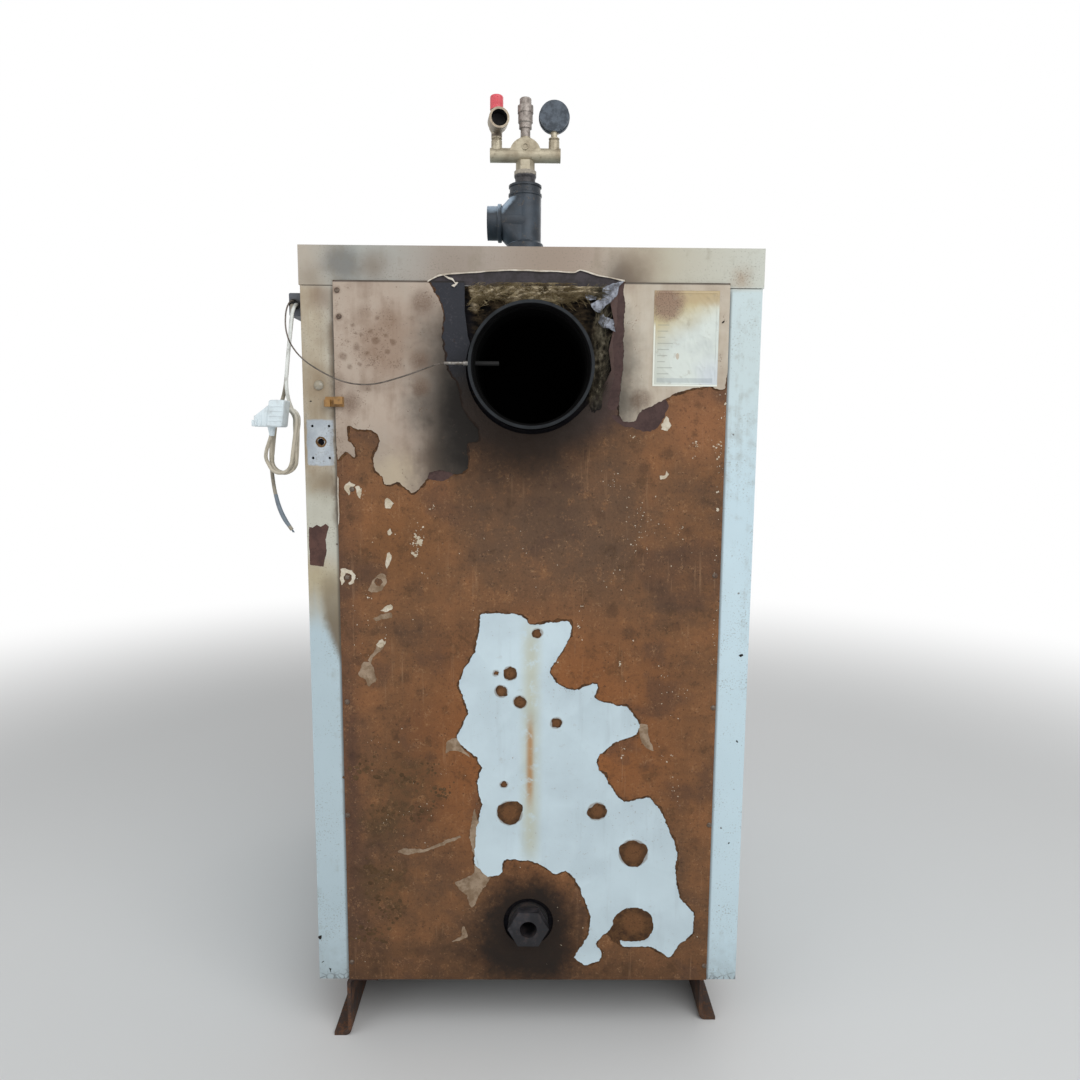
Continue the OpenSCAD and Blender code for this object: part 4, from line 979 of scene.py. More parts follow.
def glass(name):
    """Clear cover of a gauge, a little dusty."""
    f = Finish(name)
    f.tone = (0.85, 0.88, 0.9, 1)
    dust = f.ease(f.grain(160.0, 4, 0.6), 0.45, 0.8)
    return f.done(
        roughness=0.05 + dust * 0.2, alpha=0.1 + dust * 0.15
    )


def floor_cloth(name):
    """Pale studio floor that runs out into the white ground behind."""
    look = bpy.context.scene.boiler_stage
    f = Finish(name)
    speck = f.grain(3.0, 3, 0.5)
    f.tone = f.mix(speck * 0.15, look.floor, "d2d3d3")
    lit = f.node("BsdfDiffuse", None, {"Color": f.tone})
    white = f.node("Emission", None, {"Color": (1, 1, 1, 1), "Strength": 1.0})
    share = f.ease(f.far((0.0, 0.0, 0.0)), 1.3, 3.2)
    both = f.node("MixShader", None, {0: share, 1: lit, 2: white})
    f.node("OutputMaterial", None, {"Surface": both})
    return f.material


# Routes of the cords and places of the hank and the plug, in millimetres
MAINS_DROP = [
    (-309.4, -415.5, 1039), (-309.4, -421, 1037.5), (-309.5, -427.5, 1033.5), (-309.8, -433, 1027.5),
    (-310.3, -436.8, 1019.5), (-311, -438.6, 1010), (-312.3, -439.5, 996), (-314.2, -440, 980),
    (-316.4, -440.4, 962), (-318.2, -440.4, 944), (-318.6, -439.4, 929), (-317.4, -437.4, 916),
    (-314.4, -434.8, 904), (-310.6, -432.8, 892.5), (-308, -432, 881),
]
HANK = (-323.6, -432.0, 861.5)
PLUG_ENTRY = (-331, -467, 877)
PLUG_Y = -470
CUT_LEAD = [
    (-314.9, -415.5, 1038), (-314.2, -419, 1037), (-313, -423, 1033.5), (-312, -427.2, 1028),
    (-311.8, -430.4, 1020.5), (-312.4, -432.4, 1011), (-314, -433.4, 996.8), (-316.1, -433.6, 980.7),
    (-318.3, -433.6, 962.6), (-320.4, -433.2, 944.5), (-323.4, -431.6, 928), (-328.2, -429.6, 913),
    (-334.4, -427.6, 898), (-340, -426, 883), (-344, -425.2, 867), (-346, -425, 849), (-346.2, -425, 829),
    (-345, -425, 809), (-342.2, -425, 790), (-338, -424.8, 773), (-331.4, -424.4, 757), (-322, -424, 742),
]
CAPILLARY = [
    (-312.2, -415.5, 1043), (-312.6, -421, 1043), (-313.6, -428, 1041), (-314.8, -434.5, 1036),
    (-315.8, -440, 1028), (-316, -444, 1018), (-315.4, -446.4, 1007), (-313.6, -447.4, 997),
    (-310.4, -447.4, 987.5), (-305.4, -446.6, 978.5), (-298.6, -445.4, 970), (-290, -444, 962.2),
    (-280, -442.8, 955.5), (-268, -442, 948.6), (-256, -441.6, 942.8), (-244, -441.4, 938.4),
    (-231, -441.2, 935.6), (-217, -441.2, 934.8), (-203, -441.4, 935.8), (-189, -441.8, 938.8),
    (-175, -442.4, 942.8), (-161, -443, 947.2), (-148, -443.6, 951.8), (-136, -444.1, 956.2),
    (-125, -444.4, 960), (-113, -444.5, 962.5),
]
# Outlines and spots on the rear: x and z in millimetres, then a radius where there is one
SHEET = (-257.3, 257.3, 93, 1067.8)
TUBE_CLEAR = 82
WHITE_PATCH = [
    (-65, 629), (-14, 628), (1, 616), (16, 615), (53, 620), (57, 609), (48, 585), (28, 551), (36, 533),
    (60, 523), (93, 532), (89, 514), (107, 505), (137, 498), (153, 472), (148, 461), (120, 449), (93, 421),
    (109, 394), (132, 362), (167, 368), (186, 347), (210, 286), (208, 258), (216, 218), (235, 194),
    (235, 165), (214, 145), (203, 128), (178, 143), (136, 144), (132, 152), (149, 152), (168, 155),
    (179, 169), (178, 188), (166, 200), (148, 204), (131, 198), (121, 186), (118, 172), (109, 163),
    (97, 149), (105, 135), (103, 123), (83, 116), (67, 127), (86, 160), (87, 193), (75, 227), (66, 247),
    (52, 259), (39, 254), (16, 269), (-8, 275), (-35, 275), (-39, 254), (-58, 251), (-76, 270), (-73, 327),
    (-66, 358), (-73, 389), (-66, 412), (-75, 428), (-100, 452), (-85, 490), (-97, 531), (-75, 578),
    (-69, 608),
]
BARE_SPOTS = [
    (-27, 546, 8.6), (-39, 521, 7.9), (-13, 506, 8.6), (-46, 547, 3.6), (10, 603, 6.4), (-27, 345, 17.1),
    (-35, 387, 4.3), (37, 476, 7.1), (96, 348, 12.5), (148, 286, 19.5),
]
HOOK_SPOT = (151, 180, 24)
HOOK_FROM = (132, 152)
HOOK_TO = (109, 163)
OLD_HOLE = (-278, 860, 4.7)
UPPER_LEFT = [
    (-257, 1065), (-135, 1067), (-128, 1056), (-119, 1041), (-115, 1026), (-117, 1007), (-114, 973),
    (-110, 955), (-100, 941), (-95, 927), (-92, 910), (-83, 893), (-70, 876), (-70, 864), (-83, 860),
    (-86, 852), (-83, 835), (-88, 822), (-103, 819), (-118, 824), (-134, 821), (-137, 813), (-143, 807),
    (-149, 799), (-158, 793), (-166, 800), (-177, 808), (-194, 804), (-197, 814), (-207, 824), (-209, 839),
    (-204, 849), (-200, 863), (-203, 871), (-215, 877), (-228, 877), (-242, 880), (-241, 863), (-233, 851),
    (-234, 841), (-246, 848), (-256, 838),
]
BLISTERS = [
    (-141, 1042, 24), (-145, 933, 20), (-146, 967, 20), (145, 917, 22), (-203, 993, 8), (-210, 1003, 6),
    (-188, 978, 6), (-246, 971, 8), (-228, 983, 8), (-200, 1021, 5), (-233, 1011, 6), (-252, 1055, 8),
    (-250, 1022, 8), (-238, 958, 6), (-215, 930, 9), (-236, 912, 22), (-222, 999, 5), (-196, 1006, 5),
    (-215, 975, 6), (-240, 991, 5), (-205, 966, 5), (-190, 999, 5), (-180, 990, 6), (-225, 961, 5),
]
UPPER_RIGHT = [
    (122, 1068), (119, 1057), (121, 1044), (120, 1010), (121, 977), (118, 940), (116, 914), (116, 900),
    (121, 892), (136, 890), (146, 904), (163, 912), (174, 917), (187, 926), (200, 930), (215, 934),
    (235, 937), (243, 933), (255, 934), (254, 1069),
]
PRIMER = [
    (107, 897), (136, 894), (146, 906), (163, 914), (176, 919), (182, 912), (177, 900), (173, 889),
    (164, 879), (149, 877), (136, 881), (118, 886),
]
REMNANTS = [
    [(-115, 449), (-101, 454), (-93, 439), (-83, 427), (-99, 436), (-110, 435), (-116, 431)],
    [(-84, 309), (-76, 351), (-72, 327), (-74, 294), (-71, 263), (-53, 251), (-69, 225), (-80, 202),
     (-89, 223), (-104, 240), (-78, 254), (-77, 280)],
    [(-93, 175), (-87, 158), (-109, 151), (-96, 159)],
    [(-185, 288), (-174, 292), (-148, 290), (-98, 312), (-95, 309), (-134, 291), (-149, 286), (-174, 283)],
    [(152, 475), (163, 474), (165, 457), (173, 437), (163, 440), (155, 454)],
    [(-233, 550), (-227, 561), (-218, 562), (-213, 550), (-210, 535), (-221, 528), (-225, 537),
     (-234, 543)],
    [(-207, 587), (-200, 589), (-199, 583), (-212, 570), (-218, 561), (-221, 564), (-212, 577)],
    [(-213, 623), (-199, 628), (-189, 631), (-188, 624), (-199, 622), (-209, 619)],
]
HOLED_REMNANT = [(-219, 661), (-213, 674), (-203, 684), (-195, 682), (-194, 671), (-203, 660), (-214, 658)]
REMNANT_SPOT = (-205, 672, 5.2)
FLECKS = [
    [(-248, 802), (-241, 808), (-233, 804), (-240, 797), (-243, 790), (-247, 797)],
    [(-234, 801), (-229, 802), (-225, 796), (-228, 786), (-232, 793)],
    [(-195, 783), (-191, 787), (-183, 779), (-188, 772), (-194, 773)],
    [(-193, 742), (-188, 745), (-186, 739), (-191, 736)],
    [(-196, 696), (-193, 711), (-190, 714), (-188, 706), (-190, 696), (-193, 692)],
    [(173, 886), (176, 891), (178, 897), (183, 889), (186, 885), (181, 878), (174, 879)],
    [(171, 819), (180, 820), (181, 825), (185, 820), (180, 816), (173, 814)],
    [(-203, 633), (-196, 640), (-188, 643), (-187, 637), (-194, 632)],
    [(-209, 586), (-206, 591), (-201, 593), (-197, 589), (-199, 584), (-204, 582)],
    [(-256, 690), (-249, 691), (-241, 688), (-236, 681), (-238, 672), (-244, 668), (-246, 672),
     (-241, 676), (-242, 683), (-249, 685), (-252, 679), (-251, 673), (-254, 668), (-256.5, 674)],
]
# Groups of flakes: outline, count and largest radius
CLUSTERS = [
    ([(-151, 755), (-144, 748), (-143, 734), (-147, 722), (-154, 704), (-160, 714), (-162, 724), (-155, 737)],
     64, 3.8),
    ([(-136, 774), (-130, 781), (-126, 772), (-132, 766)], 8, 1.5),
    ([(-226, 800), (-220, 796), (-224, 780), (-229, 786)], 9, 1.6),
    ([(-150, 690), (-140, 684), (-138, 678), (-148, 686)], 6, 1.6),
    ([(-222, 655), (-214, 650), (-215, 640), (-221, 644)], 6, 1.3),
    ([(213, 869), (223, 866), (222, 856), (214, 858)], 8, 1.4),
    ([(237, 868), (252, 864), (254, 848), (241, 850)], 13, 1.7),
    ([(211, 846), (219, 845), (217, 840)], 4, 1.5),
    ([(130, 872), (138, 871), (136, 868)], 5, 1.3),
    ([(127, 790), (150, 795), (162, 760), (158, 712), (140, 705), (128, 740)], 34, 1.3),
    ([(90, 830), (118, 826), (120, 800), (96, 806)], 12, 1.1),
    ([(165, 780), (215, 770), (220, 700), (170, 690)], 16, 1.0),
    ([(170, 430), (215, 470), (220, 540), (175, 560)], 20, 1.0),
    ([(-240, 560), (-200, 560), (-190, 620), (-240, 640)], 14, 1.2),
    ([(-235, 300), (-120, 300), (-110, 460), (-225, 480)], 26, 1.0),
    ([(247, 930), (256, 930), (256, 560), (250, 560)], 40, 2.0),
    ([(68, 640), (74, 645), (70, 600), (64, 612)], 9, 1.9),
    ([(122, 563), (126, 566), (124, 555)], 4, 1.9),
    ([(126, 446), (134, 440), (131, 424), (125, 428)], 8, 2.2),
    ([(180, 436), (205, 430), (200, 380), (214, 340)], 16, 1.5),
    ([(100, 700), (130, 690), (140, 640), (90, 660)], 9, 1.2),
]
PRIMER_EDGES = [
    [(-135, 822), (-120, 826), (-108, 823), (-103, 818), (-114, 812), (-128, 810), (-136, 814)],
    [(112, 1066), (121, 1066), (121, 1010), (121, 960), (117, 916), (109, 904), (103, 904), (101, 912),
     (109, 955), (106, 990), (111, 1020)],
]
BARE_PATCH = [
    (-297, 747), (-292, 746), (-287, 750), (-282, 747), (-275, 751), (-271, 747), (-275, 730), (-274, 713),
    (-277, 702), (-279, 693), (-297, 696),
]
ARCH = [
    (-135, 1067), (-119, 1075), (-73, 1079), (-28, 1082), (30, 1081), (56, 1080), (62, 1083), (88, 1076),
    (120, 1070),
]
FLAPS = [
    [(119, 1070), (92, 1061), (91, 1047), (76, 1040), (81, 1031), (89, 1029), (96, 1038), (111, 1051),
     (113, 1062)],
    [(68, 1051), (73, 1055), (81, 1056), (87, 1053), (86, 1047), (77, 1045), (71, 1046)],
    [(88, 1025), (97, 1029), (104, 1027), (110, 1022), (107, 1014), (109, 1005), (101, 1009), (91, 1011),
     (86, 1018)],
]
LOOSE_CURL = [
    (-114, 1075), (-107, 1072), (-102, 1071), (-99, 1066), (-95, 1066), (-100, 1060), (-104, 1062),
    (-99, 1064), (-102, 1068), (-108, 1070),
]
SEAM_CURL = [(-257, 815), (-255.4, 812), (-255.8, 790), (-255.2, 772), (-256.2, 752), (-257, 750)]
# Beds of loose wool fibres: range of x, range of z, lean in radians and count
WOOL_BEDS = [
    ((-86, -40), (1040, 1062), 0.05, 330),
    ((-44, 44), (1040, 1065), 0.0, 620),
    ((36, 88), (1042, 1060), -0.05, 300),
    ((-88, -66), (1026, 1046), 0.5, 90),
    ((76, 103), (916, 1044), 1.3, 300),
]
HOLLOWS = [
    (-55, 1032, 13), (-42, 1038, 8), (58, 1036, 11), (72, 1041, 13), (83, 1031, 8), (-34, 1050, 4),
    (30, 1049, 4),
]
SCREWS = [
    (-253, 119), (254, 114), (-247, 679), (-251, 505), (-254, 341), (250, 684), (254, 499), (254, 328),
    (-238, 798), (-252, 1055), (-250, 1022),
]
SCABS = [
    (-228, 407, 17), (-180, 393, 15), (-124, 378, 14), (-202, 341, 14), (-217, 259, 18), (-204, 206, 15),
    (-226, 161, 17), (-190, 191, 12), (-160, 345, 15), (-140, 410, 10),
]
# Dark nicks: x and z, radius, and the plane they lie on
NICKS = [
    (290, 573, 3.0, STRIP_Y), (289, 450, 2.4, STRIP_Y), (-298, 156, 3.2, STRIP_Y),
    (-285, 106, 3.6, STRIP_Y), (250, 1019, 2.4, REAR_Y - 0.0006), (-290, 913, 1.5, STRIP_Y),
    (-295, 118, 2.2, STRIP_Y), (283, 300, 1.6, STRIP_Y),
]


class BOILER_OT_stage(bpy.types.Operator):
    """Sets up the camera, the soft light and the pale floor"""

    bl_idname = "boiler.stage"
    bl_label = "Stage"

    def execute(self, context):
        look = context.scene.boiler_stage
        lens = bpy.data.cameras.new("Camera")
        lens.lens = look.lens
        lens.sensor_width = 36
        lens.clip_start = 0.01
        camera = bpy.data.objects.new("Camera", lens)
        camera.matrix_world = (
            Matrix.Translation(look.camera_place)
            @ Matrix.Rotation(-look.camera_turn, 4, "Z")
            @ Matrix.Rotation(math.pi / 2 - look.camera_down, 4, "X")
            @ Matrix.Rotation(look.camera_roll, 4, "Z")
        )
        context.scene.collection.objects.link(camera)
        context.scene.camera = camera
        context.scene.view_settings.view_transform = "Standard"
        lamps = [
            ("key", (1.1, -2.3, 2.5), 2.4, look.key_power),
            ("fill", (-1.9, -1.7, 1.5), 2.0, look.fill_power),
            ("far_side", (0.9, 2.6, 2.2), 2.4, look.fill_power * 1.6),
        ]
        for name, place, size, power in lamps:
            lamp = bpy.data.lights.new(name, "AREA")
            lamp.size = size
            lamp.energy = power
            made = bpy.data.objects.new(name, lamp)
            aim = Vector((0, 0, 0.6)) - Vector(place)
            made.matrix_world = Matrix.Translation(place) @ aim.to_track_quat("-Z", "Y").to_matrix().to_4x4()
            context.scene.collection.objects.link(made)
        world = bpy.data.worlds.new("Studio")
        context.scene.world = world
        sky = Finish("Studio", world)
        ray = sky.node("LightPath", None, None, "Is Camera Ray")
        for kind in ("Is Glossy Ray", "Is Transmission Ray"):
            ray = ray.over(sky.node("LightPath", None, None, kind))
        strength = ray * (1 - look.sky) + look.sky
        even = sky.node("Background", None, {"Color": (1, 1, 1, 1), "Strength": strength})
        sky.node("OutputWorld", None, {"Surface": even})
        ground = bmesh.new()
        bmesh.ops.create_circle(ground, cap_ends=True, segments=96, radius=9)
        mesh = bpy.data.meshes.new("Floor")
        ground.to_mesh(mesh)
        ground.free()
        mesh.materials.append(finish_of("studio_floor", floor_cloth))
        floor = bpy.data.objects.new("Floor", mesh)
        context.scene.collection.objects.link(floor)
        return {"FINISHED"}


def round_curve(name, points, radius, rounds, steps, swell=None):
    """Round curve through points in millimetres, thicker or thinner along its way where swell says so."""
    curve = bpy.data.curves.new(name, "CURVE")
    curve.dimensions = "3D"
    curve.bevel_depth = radius
    curve.bevel_resolution = rounds
    curve.resolution_u = steps
    curve.use_fill_caps = True
    spline = curve.splines.new("BEZIER")
    spline.bezier_points.add(len(points) - 1)
    for knot, point, width in zip(spline.bezier_points, points, swell or [1.0] * len(points)):
        knot.co = Vector(point) * MM
        knot.radius = width
        knot.handle_left_type = "AUTO"
        knot.handle_right_type = "AUTO"
    return curve


def cord_line(name, points, diameter, finish):
    """Curve object of a cord through points in millimetres."""
    curve = round_curve(name, points, diameter / 2, 4, 5)
    curve.materials.append(finish)
    made = bpy.data.objects.new(name, curve)
    bpy.context.scene.collection.objects.link(made)
    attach(made, "boiler")
    return made


def hank_points(turns):
    """Turns of the mains lead, from the right side of the hank down and round, each leaning its own way."""
    bend, side, pitch = 15.2, 54.0, 5.3
    around = 2 * side + 2 * math.pi * bend
    first, last = 17.0, turns * around
    count = round((last - first) / 10.5)
    points = []
    for i in range(count + 1):
        run = first + (last - first) * i / count
        s = run % around
        if s < side:
            x, z = bend, side / 2 - s
        elif s < side + math.pi * bend:
            a = (s - side) / bend
            x, z = bend * math.cos(a), -side / 2 - bend * math.sin(a)
        elif s < 2 * side + math.pi * bend:
            x, z = -bend, -side / 2 + s - side - math.pi * bend
        else:
            a = (s - 2 * side - math.pi * bend) / bend
            x, z = -bend * math.cos(a), side / 2 + bend * math.sin(a)
        lean = 0.07 + 0.08 * math.sin(run / around * 2.6 - 0.6)
        east = HANK[0] + x * math.cos(lean) + z * math.sin(lean)
        high = HANK[2] + z * math.cos(lean) - x * math.sin(lean)
        points.append((east, HANK[1] - pitch * (run - first) / around, high))
    return points


def mains_route(turns):
    """Centreline of the mains lead: down to the hank, round it and up into the plug."""
    hank = hank_points(turns)
    start, before = Vector(hank[-1]), Vector(hank[-2])
    entry = Vector(PLUG_ENTRY)
    out = start + (start - before).normalized() * 17
    rise = interpolate_bezier(start, out, entry - Vector((0, 0, 17)), entry, 6)
    return MAINS_DROP + hank + [tuple(p) for p in rise[1:]]


def plug_shape():
    """Moulded plug: slanted block with grip ridges, wedge nose with two prongs, boot at the lead."""
    shape = bmesh.new()
    body = block((20, 27, 34), 2.6, 4)
    for vert in body.verts:
        vert.co.x += vert.co.z * 0.13
    put(shape, body, (-321, PLUG_Y, 895.5))
    for rise in (-9, -3, 3, 9):
        put(shape, block((15, 28.4, 2.2), 0.8, 2), (-320.5 + rise * 0.13, PLUG_Y, 895.5 + rise))
    nose = block((21, 23, 27), 1.8, 3)
    for vert in nose.verts:
        if vert.co.x < 0:
            vert.co.y *= 0.8
            vert.co.z = (vert.co.z + 13.5 * MM) * 0.52 - 13.5 * MM
    put(shape, nose, (-339, PLUG_Y, 892.5))
    for step in (-6, 0, 6):
        put(shape, block((1.6, 22, 15 + step), 0.5, 2), (-340 + step, PLUG_Y, 887.5 + step * 0.5))
    for side in (-6, 6):
        put(shape, block((5, 4.5, 8), 1.0, 2), (-350.5, PLUG_Y + side, 883.5))
    boot = turned([(2.7, 0), (3.1, 0.6), (4.4, 8), (5.4, 13), (0, 13)], 24)
    put(shape, boot, (PLUG_ENTRY[0], PLUG_ENTRY[1], 867.5))
    return shape


def curve_shape(curve):
    """Editable mesh of a curve, which is used up."""
    held = bpy.data.objects.new(curve.name, curve)
    mesh = bpy.data.meshes.new_from_object(held)
    shape = bmesh.new()
    shape.from_mesh(mesh)
    bpy.data.objects.remove(held)
    bpy.data.curves.remove(curve)
    bpy.data.meshes.remove(mesh)
    return shape


def sleeve_shape(points, radii):
    """Tapered sleeve round the end of a lead, with three bare cores."""
    shape = curve_shape(round_curve("sleeve", points, MM, 3, 6, radii))
    end, back = Vector(points[-1]), Vector(points[-2])
    along = (end - back).normalized()
    for i in range(3):
        aside = Vector((math.cos(i * 2.1), 0.4 * math.sin(i * 2.1), 0))
        core = turned([(0, 0), (0.6, 0), (0.6, 4.6), (0.35, 5.2), (0, 5.2)], 10)
        put(shape, core, end + aside - along, along)
    return shape


class BOILER_OT_cords(bpy.types.Operator):
    """Hangs the mains lead with its hank and plug, the cut lead and the capillary"""

    bl_idname = "boiler.cords"
    bl_label = "Cords"

    def execute(self, context):
        look = context.scene.boiler_cords
        route = mains_route(look.turns)
        white = finish_of("white_sheath", lead_sheath)
        mains = cord_line("mains_lead_cord", route, look.mains, white)
        moulded = finish_of("plug_white", plastic("cfdbe0", "77736a", 0.35, 0.25))
        plug = piece("mains_plug_body", plug_shape(), moulded)
        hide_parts("mains_lead", "mains_hank")
        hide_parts("mains_plug")
        grey = finish_of("grey_sheath", plastic("938c7e", "574f43", 0.5, 0.45, 70.0))
        cut = cord_line("cut_lead_cord", CUT_LEAD, look.cut, grey)
        sleeve = sleeve_shape(CUT_LEAD[-4:], (2.6, 2.9, 3.0, 2.3))
        blue = finish_of("sleeve_blue", plastic("6f7a84", "47454a", 0.5))
        tail = piece("cut_lead_end", sleeve, blue)
        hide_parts("cut_lead")
        tube = finish_of("capillary_tube", metal("6a625b", "4b443d", 0.5, 0.45, 200.0))
        thin = cord_line("flue_capillary_cord", CAPILLARY, look.capillary, tube)
        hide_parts("flue_capillary")
        dress(finish_of("outlet_grey", plastic("50545c", "2b2826", 0.5, 0.5)), "cable_outlet_box")
        dress(finish_of("bushing_rubber", plastic("232323", "4a443c", 0.7, 0.4)), "cable_bushing")
        dress(finish_of("clip_amber", plastic("96703d", "4d3a26", 0.45, 0.6)), "cable_clip")
        return {"FINISHED"}


class BOILER_OT_casing(bpy.types.Operator):
    """Finishes the rear panel, the sides, the cover, the front and the feet"""

    bl_idname = "boiler.casing"
    bl_label = "Casing"

    def execute(self, context):
        dress(finish_of("rear_rust", rear_rust), "rear_panel")
        pale = finish_of("casing_paint", casing_paint)
        dress(pale, "left_side_panel", "right_side_panel", "top_cover", "front_panel")
        rusty = finish_of("foot_rust", metal("3a2b25", "4f3a2c", 0.3, 0.65, 40.0, 0.8, 0.0012))
        dress(rusty, "left_foot_rail", "right_foot_rail")
        dress(finish_of("vessel_soot", soot_black), "boiler_vessel")
        return {"FINISHED"}


class BOILER_OT_paint(bpy.types.Operator):
    """Lays the paint that is left on the rear panel and the scabs of rust"""

    bl_idname = "boiler.paint"
    bl_label = "Paint and rust"

    def execute(self, context):
        look = context.scene.boiler_casing
        chance = random.Random(7)
        self.films_of_rear(look)
        self.flakes_of_rear(look, chance)
        self.marks_of_strips(chance)
        self.scabs(chance)
        return {"FINISHED"}

    def films_of_rear(self, look):
        """Sheets of paint on the rear panel, with rust under their edges and primer beside them."""
        film, ragged = look.film, look.ragged
        rear = {"plane": REAR_Y, "limit": SHEET}
        white = films(WHITE_PATCH, thick=film, ragged=ragged, spots=BARE_SPOTS, lip=0.0007, **rear)
        piece("white_paint", white, finish_of("left_paint", left_paint))
        filled = WHITE_PATCH[: WHITE_PATCH.index(HOOK_FROM)] + WHITE_PATCH[WHITE_PATCH.index(HOOK_TO) :]
        under = {"thick": film * 0.25, "ragged": ragged * 1.3, "grow": 3.2, **rear}
        edges = films(filled, UPPER_LEFT, UPPER_RIGHT, **under)
        piece("paint_edges", edges, finish_of("edge_rust", edge_rust))
        primer = films(PRIMER, *PRIMER_EDGES, thick=film * 0.3, ragged=ragged, **rear)
        piece("primer_patches", primer, finish_of("primer", flat_paint("473431", "392826")))
        beige = films(UPPER_LEFT, UPPER_RIGHT, thick=film, ragged=ragged * 0.9, lip=0.0008, **rear)
        piece("scorched_paint", beige, finish_of("beige_paint", beige_paint))
        kind = {"thick": film * 0.6, "ragged": ragged * 0.9, "lip": 0.0004, "soft": 0.1, "ring": 0.5, **rear}
        rests = films(*REMNANTS, **kind)
        paint_film(rests, HOLED_REMNANT, spots=[REMNANT_SPOT], **kind)
        brown = flat_paint("9b8873", "7a654f", 0.75, "54402f")
        piece("paint_remnants", rests, finish_of("beige_rest", brown))

    def flakes_of_rear(self, look, chance):
        """Flecks, clusters of flakes and single flakes on the rust."""
        shape = films(
            *FLECKS, plane=REAR_Y, limit=SHEET, thick=look.film * 0.85, ragged=look.ragged * 0.9, lip=0.0003,
            soft=0.05, ring=0.4,
        )
        for outline, count, largest in CLUSTERS:
            for i in range(count):
                corners = [Vector(p) for p in chance.sample(outline, 3)]
                at = corners[0].lerp(corners[1], chance.random()).lerp(corners[2], chance.random())
                size = 0.4 + (largest - 0.4) * chance.random() ** 2
                flake(shape, chance, at.x, at.y, size, REAR_Y, 0.0003 + i * 0.000005)
        for i in range(look.flakes):
            size = 0.3 + 0.9 * chance.random() ** 3
            flake(shape, chance, chance.uniform(-250, 250), chance.uniform(110, 820), size, REAR_Y, 0.0002)
        bmesh.ops.recalc_face_normals(shape, faces=shape.faces[:])
        cream = flat_paint("cbc3b2", "b3a68f", 0.6, "75624d")
        piece("paint_flakes", shape, finish_of("flake_paint", cream))

    def marks_of_strips(self, chance):
        """Rust round a hole, a bare patch and dark nicks on the strips beside the rear panel."""
        x, z, radius = OLD_HOLE
        reach = radius + 2.5
        rim = [(x + reach * math.cos(t * 0.6), z + reach * math.sin(t * 0.6)) for t in range(10)]
        hole = films(rim, plane=STRIP_Y, thick=0.00025, ragged=0.0006, spots=[OLD_HOLE], soft=0.3)
        piece("hole_rust", hole, finish_of("hole_rust", flat_paint("6d5233", "4a3722", 0.85)))
        bare = films(BARE_PATCH, plane=STRIP_Y, thick=0.0001, ragged=0.0007, soft=0.05)
        piece("bare_patch", bare, finish_of("bare_red", flat_paint("553b34", "432e29")))
        nicks = bmesh.new()
        for x, z, size, plane in NICKS:
            flake(nicks, chance, x, z, size, plane, 0.0002)
        bmesh.ops.recalc_face_normals(nicks, faces=nicks.faces[:])
        piece("dark_nicks", nicks, finish_of("nick_dark", flat_paint("1c1613", "120e0c", 0.8)))

    def scabs(self, chance):
        """Flat lumps of rust, low on the left."""
        scabs = bmesh.new()
        for x, z, r in SCABS:
            for i in range(26):
                lump = bmesh.new()
                bmesh.ops.create_icosphere(lump, subdivisions=2, radius=r * chance.uniform(0.08, 0.26) * MM)
                at = Vector((x + chance.gauss(0, r * 0.75), REAR_Y / MM + 0.15, z + chance.gauss(0, r * 0.6)))
                for vert in lump.verts:
                    spot = vert.co + at * MM
                    vert.co *= 0.85 + 0.5 * noise.noise(spot * 90) + 0.3 * noise.noise(spot * 300)
                    vert.co.y *= 0.2
                put(scabs, lump, at)
        brown = flat_paint("5f472f", "4b3722", 0.9)
        piece("rust_scabs", scabs, finish_of("rust_scab", brown), crease=80)


def bulge(x, z):
    """How far the wool stands out at a place in millimetres: above the tube, on its right and in a clump."""
    off = math.hypot(x, z - FLUE_Z / MM)
    top = max(0.0, 1 - max(0.0, abs(x - 2) - 78) / 9) * min(1.0, max(0.0, (z - 1037 - 0.0006 * x * x) / 9))
    side = max(0.0, 1 - abs(x - 91 + 0.09 * abs(z - 985)) / 17) * min(1.0, max(0.0, (z - 893) / 14))
    clump = max(0.0, 1 - math.hypot((x + 75) / 13, (z - 1036) / 12))
    gaps = [math.hypot(x - a, z - b) / r for a, b, r in HOLLOWS]
    clear = min(1.0, max(0.0, (min(gaps) - 0.7) / 0.5)) * (off > TUBE_CLEAR)
    return max(top, side * 0.8, clump * 1.3) * clear


def wool_face():
    """Tufted face of the mineral wool behind the tear, open at the flue."""
    shape = upright_grid(200, 168, (0.009, -0.4298, 0.968), 0.2, 0.187)
    gone = [v for v in shape.verts if (v.co.x ** 2 + (v.co.z - FLUE_Z) ** 2) ** 0.5 < 0.0808]
    bmesh.ops.delete(shape, geom=gone, context="VERTS")
    for vert in shape.verts:
        x, z = vert.co.x / MM, vert.co.z / MM
        stand = bulge(x, z)
        flat = Vector((vert.co.x * 55, 0, vert.co.z * 130))
        if x > 70 and z < 1035:
            flat = Vector((vert.co.x * 110, 3, vert.co.z * 75))
        ridge = 1 - abs(noise.noise(flat)) * 1.6 + noise.noise(flat * 2.7) * 0.5
        ridge += noise.noise(vert.co * 420) * 0.25
        vert.co.y -= stand * (0.0025 + 0.0055 * max(0.0, ridge)) - 0.0006 * (1 - stand)
    bmesh.ops.recalc_face_normals(shape, faces=shape.faces[:])
    if shape.faces[:][0].normal.y > 0:
        bmesh.ops.reverse_faces(shape, faces=shape.faces[:])
    return shape


